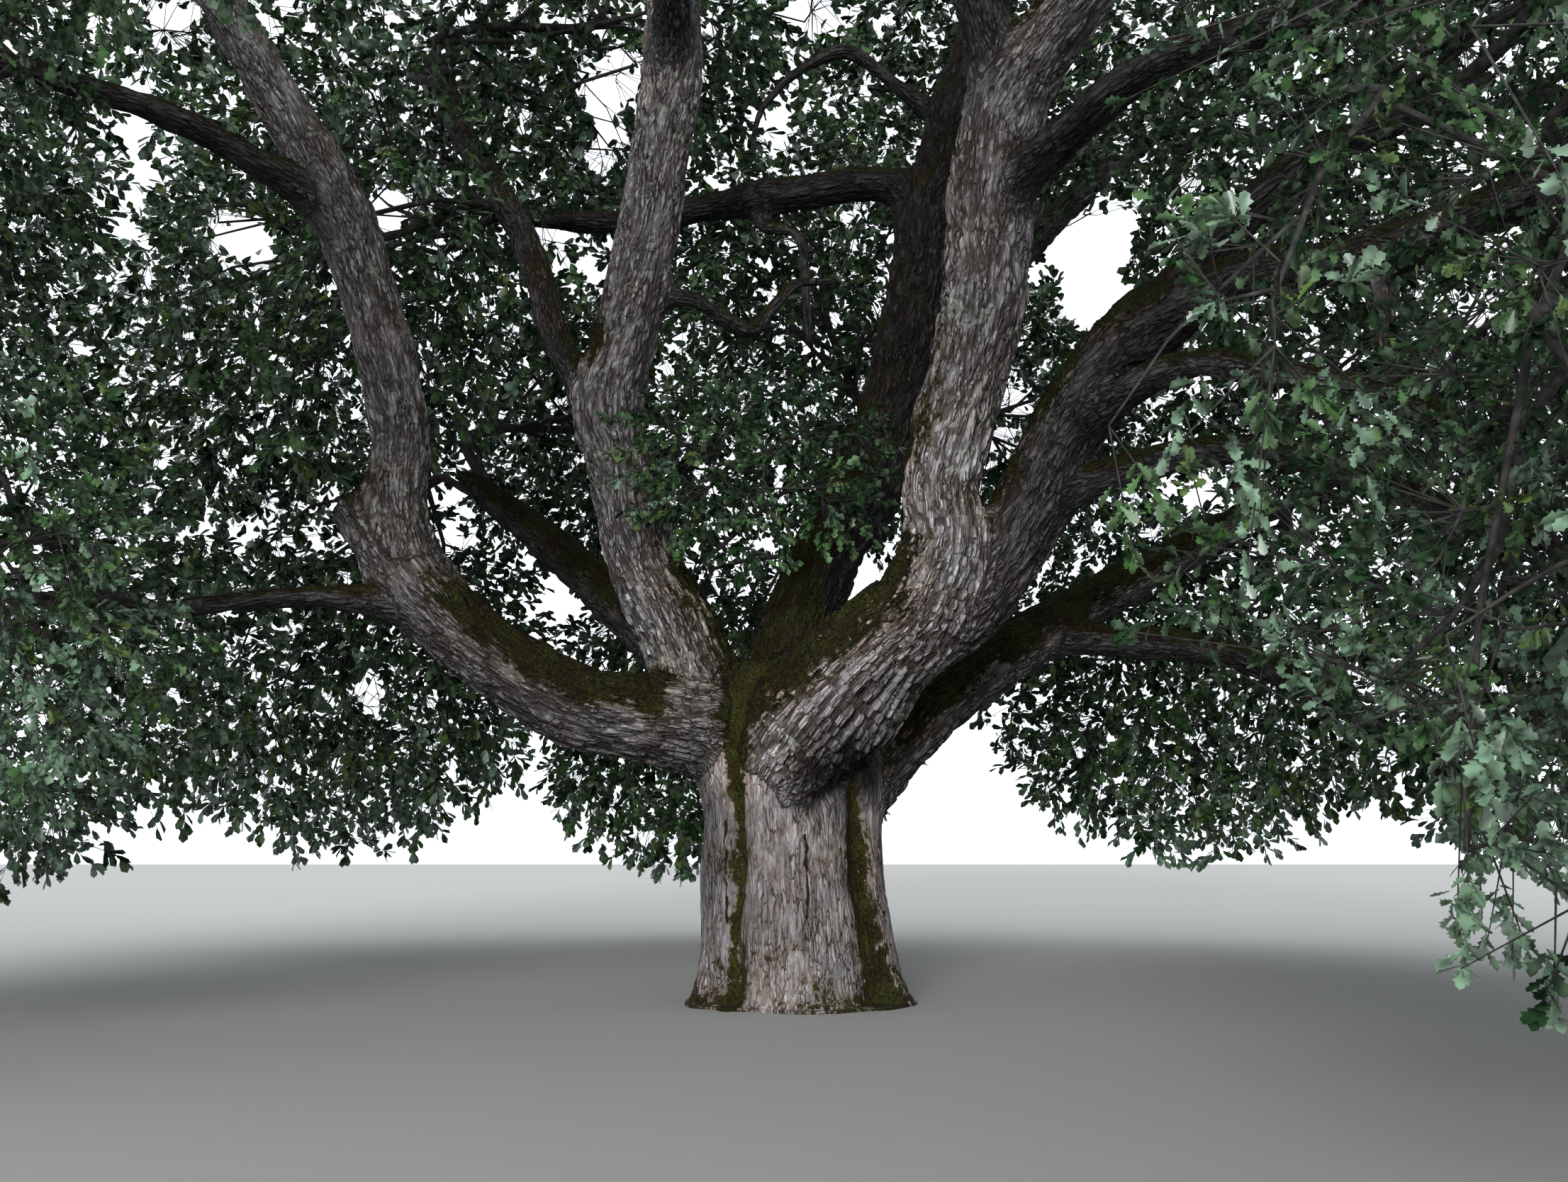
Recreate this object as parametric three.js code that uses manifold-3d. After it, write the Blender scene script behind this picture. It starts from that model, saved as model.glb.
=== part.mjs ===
// An old oak grown in the open: a short, thick, fluted trunk that forks at head height into heavy boughs,
// which sweep out and then up like the arms of a candlestick, under a broad domed crown of leaves.
// Millimetres, +Z up. The origin is on the flat cut at ground level, under the middle of the trunk.
// The view it was measured from looks along +Y, so -Y is the front, -X the left and +X the right.

import * as THREE from "three";
import { mergeVertices } from "three/addons/utils/BufferGeometryUtils.js";
import Module from "manifold-3d";

const wasm = await Module();
wasm.setup();

// Driving sizes
const metre = 1000;
const gap = 0.3; // air between neighbouring pieces

// Trunk: its waist is 1.78 m across, a girth of about 5.5 m
const trunkHeights = [0, 0.12, 0.32, 0.65, 1.2, 1.8, 2.3, 2.7, 3.05, 3.35]; // m, up from the ground
const trunkRadii = [0.97, 0.93, 0.9, 0.875, 0.86, 0.83, 0.84, 0.83, 0.7, 0.38]; // m
const trunkLean = [-0.035, 0.01]; // m sideways for each metre up
const trunkSides = 28;
// Ribs run up from the spreading roots: the side each is on (degrees, 0 front, 90 right), how far it
// stands out and how far its root spreads, both as shares of the radius, and its half width in degrees
const ribs = [
  { side: 8, stands: 0.05, spreads: 0.06, width: 26 },
  { side: 78, stands: 0.05, spreads: 0.17, width: 24 },
  { side: 136, stands: 0.06, spreads: 0.14, width: 24 },
  { side: 190, stands: 0.07, spreads: 0.18, width: 26 },
  { side: 241, stands: 0.05, spreads: 0.12, width: 22 },
  { side: 291, stands: 0.07, spreads: 0.09, width: 24 },
];
const rootFade = 0.55; // m up by which a spreading root has mostly drawn in

// Boughs, each listed after its parent. A course gives the line of a bough as x, y, z and radius in metres.
// A bough without one leaves its parent at the share "at" of that one's length and runs to its tip,
// arched up by "lift" metres, its radius going from the first to the second value.
const boughs = [
  {
    name: "bough_right_front",
    parent: "trunk",
    course: [
      [-0.15, -0.15, 2.3, 0.66],
      [0.3, -0.65, 2.9, 0.6],
      [0.76, -0.95, 3.35, 0.54],
      [1.17, -1.12, 3.76, 0.47],
      [1.38, -1.25, 4.35, 0.4],
      [1.36, -1.3, 4.95, 0.37],
      [1.55, -1.38, 5.75, 0.39],
      [1.77, -1.5, 6.65, 0.41],
      [1.83, -1.65, 7.6, 0.42],
      [2.0, -1.85, 8.5, 0.37],
      [2.7, -2.3, 9.4, 0.3],
      [3.4, -2.7, 10.5, 0.23],
      [3.8, -2.9, 11.6, 0.17],
    ],
  },
  {
    name: "bough_centre_left",
    parent: "trunk",
    course: [
      [-0.35, 0.1, 2.55, 0.5],
      [-0.88, 0.05, 2.95, 0.47],
      [-1.2, 0.1, 3.65, 0.43],
      [-1.6, 0.2, 4.4, 0.37],
      [-1.83, 0.2, 5.4, 0.34],
      [-1.95, 0.1, 6.1, 0.36],
      [-1.7, -0.05, 7.2, 0.34],
      [-1.42, -0.3, 8.6, 0.32],
      [-1.27, -0.7, 10.2, 0.29],
      [-1.7, -1.2, 12.2, 0.18],
    ],
  },
  {
    name: "bough_left_low",
    parent: "trunk",
    course: [
      [-0.45, -0.05, 2.6, 0.5],
      [-1.4, -0.28, 2.73, 0.45],
      [-2.27, -0.5, 2.93, 0.41],
      [-3.1, -0.58, 3.44, 0.385],
      [-3.75, -0.6, 4.05, 0.36],
      [-4.42, -0.58, 4.88, 0.22],
    ],
  },
  {
    name: "bough_left_rise",
    parent: "bough_left_low",
    course: [
      [-3.8, -0.6, 4.1, 0.33],
      [-3.96, -0.6, 4.85, 0.33],
      [-3.95, -0.6, 5.5, 0.3],
      [-4.2, -0.78, 6.7, 0.3],
      [-4.62, -1.0, 7.9, 0.3],
      [-5.3, -1.4, 9.1, 0.24],
      [-6.1, -1.9, 10.5, 0.16],
    ],
  },
  {
    name: "bough_centre_back",
    parent: "trunk",
    course: [
      [0.05, 0.3, 2.6, 0.45],
      [-0.05, 0.6, 3.5, 0.42],
      [0.29, 0.9, 4.5, 0.38],
      [0.85, 1.15, 5.5, 0.36],
      [1.25, 1.38, 7.0, 0.36],
      [1.6, 1.6, 8.8, 0.35],
      [2.05, 1.9, 10.5, 0.31],
      [2.6, 2.3, 12.4, 0.22],
    ],
  },
  {
    name: "bough_right_low",
    parent: "trunk",
    course: [
      [0.3, 0.12, 2.0, 0.45],
      [0.71, 0.3, 2.27, 0.42],
      [1.3, 0.68, 2.86, 0.375],
      [2.1, 1.22, 3.45, 0.34],
      [3.16, 2.1, 4.12, 0.29],
      [4.5, 2.9, 4.9, 0.24],
      [5.7, 3.6, 5.6, 0.19],
    ],
  },
  {
    name: "bough_back_left",
    parent: "trunk",
    course: [
      [-0.25, 0.4, 2.4, 0.42],
      [-0.8, 1.4, 3.1, 0.38],
      [-1.7, 2.7, 4.0, 0.33],
      [-2.9, 3.9, 5.1, 0.26],
      [-4.2, 4.9, 6.2, 0.19],
    ],
  },
  {
    name: "bough_right",
    parent: "bough_right_front",
    course: [
      [1.0, -1.0, 3.55, 0.38],
      [1.56, -0.9, 3.72, 0.37],
      [2.01, -1.0, 4.33, 0.36],
      [2.34, -1.25, 5.0, 0.345],
      [2.66, -1.7, 5.65, 0.31],
      [3.1, -2.3, 6.12, 0.28],
    ],
  },
  {
    name: "bough_right_reach",
    parent: "bough_right",
    course: [
      [2.96, -2.12, 6.02, 0.26],
      [3.6, -3.2, 6.2, 0.22],
      [4.3, -4.7, 5.9, 0.18],
      [4.6, -6.6, 5.6, 0.15],
    ],
  },
  {
    name: "bough_back_left_high",
    parent: "bough_centre_left",
    course: [
      [-2.0, 0.15, 6.05, 0.19],
      [-2.55, 0.6, 6.87, 0.18],
      [-3.05, 1.2, 8.26, 0.175],
      [-3.99, 2.0, 9.95, 0.16],
      [-4.4, 2.7, 11.0, 0.13],
    ],
  },
  {
    name: "bough_across",
    parent: "bough_centre_back",
    course: [
      [1.5, 1.55, 8.5, 0.24],
      [1.1, 1.7, 9.15, 0.23],
      [-0.3, 1.9, 9.1, 0.2],
      [-2.1, 2.3, 8.95, 0.16],
      [-3.4, 2.8, 9.2, 0.13],
    ],
  },
  {
    name: "bough_fork_left", parent: "bough_right_front", at: 0.74,
    tip: [0.9, -2.9, 11.7], radii: [0.25, 0.16], lift: 0.15,
  },
  {
    name: "bough_left_side", parent: "bough_left_rise", at: 0.64,
    tip: [-6.9, -2.9, 8.3], radii: [0.16, 0.1], lift: 0.2,
  },
  {
    name: "bough_left_droop", parent: "bough_left_low", at: 0.7,
    tip: [-5.6, -1.5, 3.7], radii: [0.13, 0.1], lift: 0.15,
  },
  {
    name: "bough_front", parent: "bough_centre_left", at: 0.84,
    tip: [-1.1, -5.3, 10.6], radii: [0.19, 0.13], lift: 0.8,
  },
  {
    name: "bough_right_side", parent: "bough_right_front", at: 0.66,
    tip: [4.1, -4.6, 7.9], radii: [0.2, 0.12], lift: 0.4,
  },
  {
    name: "bough_right_middle", parent: "bough_right", at: 0.72,
    tip: [4.2, -4.5, 4.9], radii: [0.16, 0.11], lift: 0.4,
  },
  {
    name: "bough_right_high", parent: "bough_right", at: 0.95,
    tip: [5.5, -3.3, 7.8], radii: [0.2, 0.13], lift: 0.4,
  },
  {
    name: "bough_right_droop", parent: "bough_right", at: 0.53,
    tip: [5.7, -3.5, 4.0], radii: [0.18, 0.11], lift: 0.6,
  },
  {
    name: "bough_back_high", parent: "bough_centre_back", at: 0.5,
    tip: [4.0, 3.8, 10.2], radii: [0.25, 0.17], lift: 0.2,
  },
  {
    name: "bough_right_hanging", parent: "bough_right_low", at: 0.6,
    tip: [7.2, 1.5, 2.3], radii: [0.2, 0.12], lift: 0.5,
  },
  {
    name: "bough_back", parent: "bough_centre_back", at: 0.26,
    tip: [1.0, 5.8, 7.3], radii: [0.28, 0.17], lift: 0.3,
  },
  {
    name: "bough_inner", parent: "bough_centre_left", at: 0.36,
    tip: [-1.05, -0.4, 5.35], radii: [0.08, 0.06], lift: 0.1,
  },
];
const boughStep = 1.2; // m between the rings of a bough
const sidesOfThick = 8;
const sidesOfThin = 6;
const thick = 0.28; // m, a radius from which a bough has the larger number of sides

// Masses of foliage: the bough each grows from and its middle in metres
const masses = [
  { name: "leaves_low_front_right", bough: "bough_right_reach", middle: [3.9, -9.4, 3.1] },
  { name: "leaves_low_right_front", bough: "bough_right_middle", middle: [6.4, -5.8, 3.5] },
  { name: "leaves_low_right", bough: "bough_right_droop", middle: [9.2, -2.4, 3.7] },
  { name: "leaves_low_right_back", bough: "bough_right_hanging", middle: [9.0, 2.6, 3.9] },
  { name: "leaves_low_back_right", bough: "bough_right_low", middle: [5.9, 7.4, 3.9] },
  { name: "leaves_low_back", bough: "bough_back", middle: [-1.2, 9.1, 3.5] },
  { name: "leaves_low_left_back", bough: "bough_back_left", middle: [-6.4, 6.9, 4.0] },
  { name: "leaves_low_left", bough: "bough_left_droop", middle: [-9.1, 1.2, 3.6] },
  { name: "leaves_low_left_front", bough: "bough_left_droop", middle: [-7.9, -4.2, 3.5] },
  { name: "leaves_mid_front", bough: "bough_front", middle: [0.9, -9.2, 9.4] },
  { name: "leaves_mid_front_right", bough: "bough_right_side", middle: [5.4, -7.6, 8.2] },
  { name: "leaves_mid_right_front", bough: "bough_right_high", middle: [8.9, -4.0, 8.2] },
  { name: "leaves_mid_right_back", bough: "bough_right_low", middle: [9.6, 0.9, 8.2] },
  { name: "leaves_mid_back_right", bough: "bough_right_low", middle: [8.0, 5.7, 8.2] },
  { name: "leaves_mid_back", bough: "bough_back", middle: [3.3, 9.2, 8.2] },
  { name: "leaves_mid_back_left", bough: "bough_back_left", middle: [-2.6, 9.4, 8.2] },
  { name: "leaves_mid_left_back", bough: "bough_across", middle: [-7.4, 6.5, 8.2] },
  { name: "leaves_mid_left", bough: "bough_left_side", middle: [-9.7, 1.1, 8.4] },
  { name: "leaves_mid_left_front", bough: "bough_left_side", middle: [-8.9, -4.3, 8.3] },
  { name: "leaves_mid_front_left", bough: "bough_front", middle: [-4.7, -8.3, 8.6] },
  { name: "leaves_heart_right", bough: "bough_right_high", middle: [5.9, 0.9, 9.2], twigs: 4 },
  { name: "leaves_heart_left", bough: "bough_across", middle: [-5.7, 2.4, 8.5], twigs: 4 },
  { name: "leaves_heart_back", bough: "bough_back", middle: [0.3, 6.2, 9.5], twigs: 4 },
  { name: "leaves_heart_high", bough: "bough_back_left_high", middle: [-2.3, 3.5, 12.2], twigs: 4 },
  { name: "leaves_high_front", bough: "bough_fork_left", middle: [0.5, -7.7, 13.4] },
  { name: "leaves_high_front_right", bough: "bough_right_front", middle: [6.2, -4.8, 12.9] },
  { name: "leaves_high_right", bough: "bough_back_high", middle: [7.5, 1.8, 12.9] },
  { name: "leaves_high_back", bough: "bough_back_high", middle: [3.2, 7.1, 12.9] },
  { name: "leaves_high_back_left", bough: "bough_back_left_high", middle: [-4.2, 7.0, 12.9] },
  { name: "leaves_high_left", bough: "bough_left_rise", middle: [-7.5, 1.2, 12.9] },
  { name: "leaves_high_front_left", bough: "bough_left_rise", middle: [-5.4, -4.9, 12.9] },
  { name: "leaves_top_front", bough: "bough_fork_left", middle: [0.6, -3.9, 16.8] },
  { name: "leaves_top_right", bough: "bough_centre_back", middle: [3.9, 1.9, 16.8] },
  { name: "leaves_top_left", bough: "bough_centre_left", middle: [-3.2, 2.0, 16.8] },
  { name: "leaves_crown_top", bough: "bough_centre_back", middle: [0.5, 0.2, 18.9], reach: [3, 3, 2.5] },
  {
    name: "leaves_inner", bough: "bough_inner", middle: [-0.35, -0.7, 5.15],
    reach: [1.7, 1.0, 1.2], twigs: 4,
  },
];
const reach = [3.45, 3.45, 2.9]; // m, how far a mass reaches from its middle along x, y and z
const twigsPerMass = 5;
const crownHeart = [0, 0, 7]; // m, the place in the crown that twigs lean away from
const twigFan = 1.4; // how far round twigs fan out from that lean, 0 all outward to 2 evenly on all sides
const twigShare = 0.5; // how far out a twig ends, as a share of the reach
const twigStarts = [0.62, 0.97]; // the stretch of a stem that twigs leave, as shares of its length
// One leaf stands for a spray of real ones. Sizes in metres
const leafLength = 2.0;
const leafWidth = 1.35;
const leafThickness = 0.09;
const leafWidest = 0.45; // the share of its length at which it is widest
const leafForward = 0.45; // how far the leaves round a twig's end lean on along it
const leafShares = [1, 0.88, 0.76, 0.64]; // sizes a leaf is tried at before it is skipped
const stemRadii = [0.11, 0.08];
const twigRadii = [0.085, 0.065];
const stemSides = 4;
const stemSteps = 3;
const wallClearance = 0.03; // m between a leaf and the edge of its own space
const limbClearance = 0.07; // m between a leaf and any bough
const leafClearance = 0.16; // m between the leaves of one twig and those of another
const lowest = 0.75; // m above the ground that no leaf goes below

// Numbers from 0 to 1 that are the same on every run
function seeded(seed) {
  let state = (seed * 2654435761) >>> 0;
  return () => {
    state = (Math.imul(state, 1664525) + 1013904223) >>> 0;
    return state / 4294967296;
  };
}

const vector = (p) => new THREE.Vector3(p[0], p[1], p[2]).multiplyScalar(metre);

// The angle between two directions in degrees, taken the short way round
const turnBetween = (a, b) => Math.abs(((((a - b) % 360) + 540) % 360) - 180);

// A closed geometry becomes a solid that can be joined and cut
function solidFrom(geometry) {
  geometry.deleteAttribute("normal");
  geometry.deleteAttribute("uv");
  const merged = mergeVertices(geometry, 0.01);
  return new wasm.Manifold(
    new wasm.Mesh({
      numProp: 3,
      vertProperties: merged.attributes.position.array,
      triVerts: new Uint32Array(merged.index.array),
    }),
  );
}

function geometryFrom(solid) {
  const mesh = solid.getMesh();
  const positions = new Float32Array(mesh.numVert * 3);
  for (let i = 0; i < mesh.numVert; i++) {
    const start = i * mesh.numProp;
    positions.set(mesh.vertProperties.subarray(start, start + 3), i * 3);
  }
  return new THREE.BufferGeometry()
    .setAttribute("position", new THREE.BufferAttribute(positions, 3))
    .setIndex(new THREE.BufferAttribute(mesh.triVerts, 1));
}

// Skins a row of rings that all have the same number of points, with a flat cap at each end
function loft(rings) {
  const sides = rings[0].length;
  const positions = rings.flat().flatMap((p) => [p.x, p.y, p.z]);
  const faces = [];
  for (let ring = 0; ring + 1 < rings.length; ring++) {
    for (let i = 0; i < sides; i++) {
      const a = ring * sides + i;
      const b = ring * sides + ((i + 1) % sides);
      faces.push(a, b, b + sides, a, b + sides, a + sides);
    }
  }
  const last = (rings.length - 1) * sides;
  for (let i = 1; i + 1 < sides; i++) {
    faces.push(0, i + 1, i, last, last + i, last + i + 1);
  }
  return new THREE.BufferGeometry()
    .setAttribute("position", new THREE.Float32BufferAttribute(positions, 3))
    .setIndex(faces);
}

// Rings round a line of points, square to it and without twist
function ringsAlong(points, radii, sides) {
  let across = new THREE.Vector3(0.31, 0.95, 0.05);
  return points.map((point, i) => {
    const ahead = points[Math.min(i + 1, points.length - 1)];
    const behind = points[Math.max(i - 1, 0)];
    const along = ahead.clone().sub(behind).normalize();
    across = across.clone().addScaledVector(along, -across.dot(along)).normalize();
    const third = along.clone().cross(across);
    return Array.from({ length: sides }, (_, k) => {
      const angle = (2 * Math.PI * k) / sides;
      return point
        .clone()
        .addScaledVector(across, radii[i] * Math.cos(angle))
        .addScaledVector(third, radii[i] * Math.sin(angle));
    });
  });
}

// The trunk's outline at a height: the ribs stand out of it, and more so where they spread into roots
function trunkRing(height, radius, grow) {
  return Array.from({ length: trunkSides }, (_, k) => {
    const side = (360 * k) / trunkSides;
    let share = 1;
    for (const rib of ribs) {
      const bulge = Math.exp(-((turnBetween(side, rib.side) / rib.width) ** 2));
      share += bulge * (rib.stands + rib.spreads * Math.exp(-height / rootFade));
    }
    const angle = THREE.MathUtils.degToRad(side);
    const r = radius * share * metre + grow;
    return new THREE.Vector3(
      trunkLean[0] * height * metre + r * Math.sin(angle),
      trunkLean[1] * height * metre - r * Math.cos(angle),
      height * metre,
    );
  });
}

function trunkSolid(grow) {
  const rings = trunkHeights.map((h, i) => trunkRing(h, trunkRadii[i], grow));
  return solidFrom(loft(rings));
}

// The line of a bough: its points and radii at even steps
function boughLine(bough, lines) {
  let course = bough.course;
  if (!course) {
    const parent = lines.get(bough.parent).curve;
    const start = parent.getPoint(bough.at).divideScalar(metre);
    const tip = new THREE.Vector3(...bough.tip);
    const middle = start.clone().lerp(tip, 0.5);
    middle.z += bough.lift;
    course = [start, middle, tip].map((p, i) => [
      p.x,
      p.y,
      p.z,
      THREE.MathUtils.lerp(bough.radii[0], bough.radii[1], i / 2),
    ]);
  }
  const curve = new THREE.CatmullRomCurve3(course.map(vector), false, "catmullrom", 0.5);
  const steps = Math.max(3, Math.round(curve.getLength() / metre / boughStep));
  const points = [];
  const radii = [];
  for (let i = 0; i <= steps; i++) {
    const place = (i / steps) * (course.length - 1);
    const from = Math.min(Math.floor(place), course.length - 2);
    points.push(curve.getPoint(i / steps));
    radii.push(THREE.MathUtils.lerp(course[from][3], course[from + 1][3], place - from) * metre);
  }
  return { curve, points, radii, sides: radii[0] >= thick * metre ? sidesOfThick : sidesOfThin };
}

// A bough's solid, or that solid grown on all sides, ends included, to cut its neighbours clear of it
function boughSolid(line, grow) {
  const points = line.points.map((p) => p.clone());
  for (const [end, next] of [[0, 1], [-1, -2]]) {
    const outward = points.at(end).clone().sub(points.at(next)).setLength(grow);
    points.at(end).add(outward);
  }
  const radii = line.radii.map((r) => r + grow);
  return solidFrom(loft(ringsAlong(points, radii, line.sides)));
}

const largest = (solid) => solid.decompose().sort((a, b) => b.volume() - a.volume())[0];

// How far a point is outside a chain of round links, negative inside
function outsideChain(point, chain) {
  let least = Infinity;
  const link = new THREE.Line3();
  const near = new THREE.Vector3();
  for (let i = 0; i + 1 < chain.points.length; i++) {
    link.set(chain.points[i], chain.points[i + 1]);
    const share = link.closestPointToPointParameter(point, true);
    link.at(share, near);
    const radius = THREE.MathUtils.lerp(chain.radii[i], chain.radii[i + 1], share);
    least = Math.min(least, point.distanceTo(near) - radius);
  }
  return least;
}

// The stems at a bough's tip stand evenly round it, each on the side that its mass lies on
function stemLines(bough, lines) {
  const line = lines.get(bough.name);
  const tip = line.points.at(-1);
  const radius = line.radii.at(-1);
  const along = tip.clone().sub(line.points.at(-2)).normalize();
  const across = new THREE.Vector3(-along.y, along.x, 0).normalize();
  const third = along.clone().cross(across);
  const sharing = masses.filter((mass) => mass.bough === bough.name);
  const turnOf = (mass) => {
    const away = vector(mass.middle).sub(tip);
    return Math.atan2(away.dot(third), away.dot(across));
  };
  sharing.sort((a, b) => turnOf(a) - turnOf(b));
  const slice = (2 * Math.PI) / sharing.length;
  const first = sharing.reduce((sum, mass, i) => sum + turnOf(mass) - i * slice, 0) / sharing.length;
  return sharing.map((mass, i) => {
    const alone = sharing.length === 1;
    const turn = first + i * slice;
    const aside = across.clone().multiplyScalar(Math.cos(turn)).addScaledVector(third, Math.sin(turn));
    const start = tip.clone().addScaledVector(along, gap).addScaledVector(aside, alone ? 0 : radius * 0.53);
    const middle = vector(mass.middle);
    const span = start.distanceTo(middle);
    const bend = start.clone().addScaledVector(along, 0.2 * span).addScaledVector(aside, 0.1 * span);
    const curve = new THREE.CatmullRomCurve3([start, bend, middle], false, "catmullrom", 0.5);
    const thickest = Math.min(stemRadii[0] * metre, radius * (alone ? 0.9 : 0.42));
    const thinnest = Math.min(stemRadii[1] * metre, thickest);
    const steps = Array.from({ length: stemSteps + 1 }, (_, step) => step / stemSteps);
    const points = steps.map((share) => curve.getPoint(share));
    const radii = steps.map((share) => THREE.MathUtils.lerp(thickest, thinnest, share));
    return { mass, curve, points, radii, along };
  });
}

// A stem's first ring lies flat against the bough's end face
function stemSolid(stem) {
  const rings = ringsAlong(stem.points, stem.radii, stemSides);
  const start = stem.points[0];
  rings[0].forEach((p) => p.addScaledVector(stem.along, -p.clone().sub(start).dot(stem.along)));
  return solidFrom(loft(rings));
}

// A leaf's two sides and its tip, from the middle of its root
function leafCorners(root, along, across, size) {
  const place = (out, aside) => {
    const forward = root.clone().addScaledVector(along, out * leafLength * size);
    return forward.addScaledVector(across, aside * leafWidth * size);
  };
  return { left: place(leafWidest, -0.5), right: place(leafWidest, 0.5), tip: place(1, 0) };
}

// Points spread over a leaf, for the tests of its space
function leafPoints(root, { left, right, tip }) {
  const points = [];
  for (const share of [0.25, 0.5, 0.75, 1]) {
    points.push(root.clone().lerp(left, share), root.clone().lerp(right, share));
    points.push(left.clone().lerp(tip, share), right.clone().lerp(tip, share));
    points.push(root.clone().lerp(tip, share), left.clone().lerp(right, share));
  }
  return points;
}

// A twig is a three-sided rod. The last stretch of each of its sides draws out into a leaf, and so does its
// end, so that twig and leaves are one closed skin. Leaves that were given no corners are left out
function spraySkin(rings, sideLeaves, endLeaf) {
  const points = rings.flat();
  const faces = [0, 2, 1];
  const add = (...corners) => corners.map((corner) => points.push(corner) - 1);
  for (let i = 0; i < 3; i++) {
    const next = (i + 1) % 3;
    faces.push(i, next, next + 3, i, next + 3, i + 3);
    const [a, b, c, d] = [i + 3, next + 3, next + 6, i + 6];
    const leaf = sideLeaves[i];
    if (!leaf) {
      faces.push(a, b, c, a, c, d);
      continue;
    }
    const [left, right, tip] = add(leaf.left, leaf.right, leaf.tip);
    faces.push(a, b, tip, b, right, tip, a, tip, left);
    faces.push(c, d, tip, d, left, tip, c, tip, right);
    faces.push(d, a, left, b, c, right);
  }
  if (endLeaf) {
    const [left, right, tip] = add(endLeaf.left, endLeaf.right, endLeaf.tip);
    faces.push(7, 8, tip, 8, right, tip, 7, tip, left);
    faces.push(6, left, tip, 6, tip, right, 6, 7, left, 8, 6, right);
  } else {
    faces.push(6, 7, 8);
  }
  return new THREE.BufferGeometry()
    .setAttribute("position", new THREE.Float32BufferAttribute(points.flatMap((p) => p.toArray()), 3))
    .setIndex(faces);
}

// A mass keeps to an ellipsoid round its middle, to its own side of the wall between it and each other mass,
// and clear of every bough and of the stems of the other masses
function insideSpace(point, mass, obstacles) {
  const size = mass.reach ?? reach;
  const middle = vector(mass.middle);
  const d = point.clone().sub(middle).divideScalar(metre);
  if ((d.x / size[0]) ** 2 + (d.y / size[1]) ** 2 + (d.z / size[2]) ** 2 > 1) return false;
  if (point.z < lowest * metre) return false;
  for (const other of masses) {
    if (other === mass) continue;
    const away = vector(other.middle).sub(middle);
    const span = away.length();
    const share = size[0] / (size[0] + (other.reach ?? reach)[0]);
    if (point.clone().sub(middle).dot(away) / span > span * share - wallClearance * metre) return false;
  }
  return obstacles.every((chain) => outsideChain(point, chain) > limbClearance * metre);
}

// Directions spread evenly over a cap round "heading": a fan of 2 is the whole ball
function fanDirection(i, count, heading, turn) {
  const down = 1 - (twigFan * (i + 0.5)) / count;
  const flat = Math.sqrt(1 - down * down);
  const angle = i * Math.PI * (3 - Math.sqrt(5)) + turn;
  const direction = new THREE.Vector3(flat * Math.cos(angle), flat * Math.sin(angle), down);
  const turned = new THREE.Quaternion().setFromUnitVectors(new THREE.Vector3(0, 0, 1), heading);
  return direction.applyQuaternion(turned);
}

function massSolid(mass, index, stem, obstacles) {
  const random = seeded(index + 1);
  const size = mass.reach ?? reach;
  const small = size[0] / reach[0];
  const middle = vector(mass.middle);
  const heading = middle.clone().sub(vector(crownHeart)).normalize();
  const count = mass.twigs ?? twigsPerMass;
  const turn = random() * 2 * Math.PI;
  const taken = [];
  const twigs = [];
  let solid = stemSolid(stem);
  for (let k = 0; k < count; k++) {
    const out = fanDirection(k, count, heading, turn);
    const start = stem.curve.getPoint(THREE.MathUtils.lerp(...twigStarts, (count - k - random()) / count));
    const end = middle.clone().addScaledVector(out.clone().multiply(vector(size)), twigShare);
    const spin = random() * 2 * Math.PI;
    const along = end.clone().sub(start).normalize();
    const whorl = end.clone().addScaledVector(along, -leafThickness * metre);
    const twigPoints = [0.25, 0.5, 0.75, 1].map((share) => start.clone().lerp(end, share));
    const hits = (p) => taken.some((q) => p.distanceTo(q) < leafClearance * metre);
    if (!twigPoints.every((p) => insideSpace(p, mass, obstacles) && !hits(p))) continue;
    const radii = [twigRadii[0], twigRadii[1], twigRadii[1]].map((r) => r * metre * Math.max(small, 0.6));
    const rings = ringsAlong([start, whorl, end], radii, 3).map((ring) => {
      const centre = ring[0].clone().add(ring[1]).add(ring[2]).divideScalar(3);
      return ring.map((p) => p.sub(centre).applyAxisAngle(along, spin).add(centre));
    });
    const grown = [];
    const tryLeaf = (root, ahead, across) => {
      for (const share of leafShares) {
        const corners = leafCorners(root, ahead, across, share * small * metre);
        const points = leafPoints(root, corners);
        const fits = points.every((p) => insideSpace(p, mass, [...obstacles, stem, ...twigs]));
        const free = fits && points.every((p) => taken.every((q) => p.distanceTo(q) > leafClearance * metre));
        if (!free) continue;
        grown.push(...points);
        return corners;
      }
      return null;
    };
    const sideLeaves = [0, 1, 2].map((i) => {
      const next = (i + 1) % 3;
      const corners = [rings[1][i], rings[1][next], rings[2][i], rings[2][next]];
      const root = corners.reduce((sum, p) => sum.add(p), new THREE.Vector3()).divideScalar(4);
      const across = rings[1][next].clone().sub(rings[1][i]).normalize();
      const ahead = across.clone().cross(along).normalize().addScaledVector(along, leafForward).normalize();
      return tryLeaf(root, ahead, across);
    });
    const endAcross = rings[2][2].clone().sub(rings[2][1]).normalize();
    const endLeaf = tryLeaf(end, along, endAcross);
    taken.push(...grown);
    twigs.push({ points: [start, end], radii: [radii[0], radii[2]] });
    solid = solid.add(solidFrom(spraySkin(rings, sideLeaves, endLeaf)));
  }
  return largest(solid);
}

const bark = new THREE.MeshStandardMaterial({ color: 0x8a8074, roughness: 0.95, metalness: 0 });
const foliage = new THREE.MeshStandardMaterial({ color: 0x3d5c35, roughness: 0.7, metalness: 0 });

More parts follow.
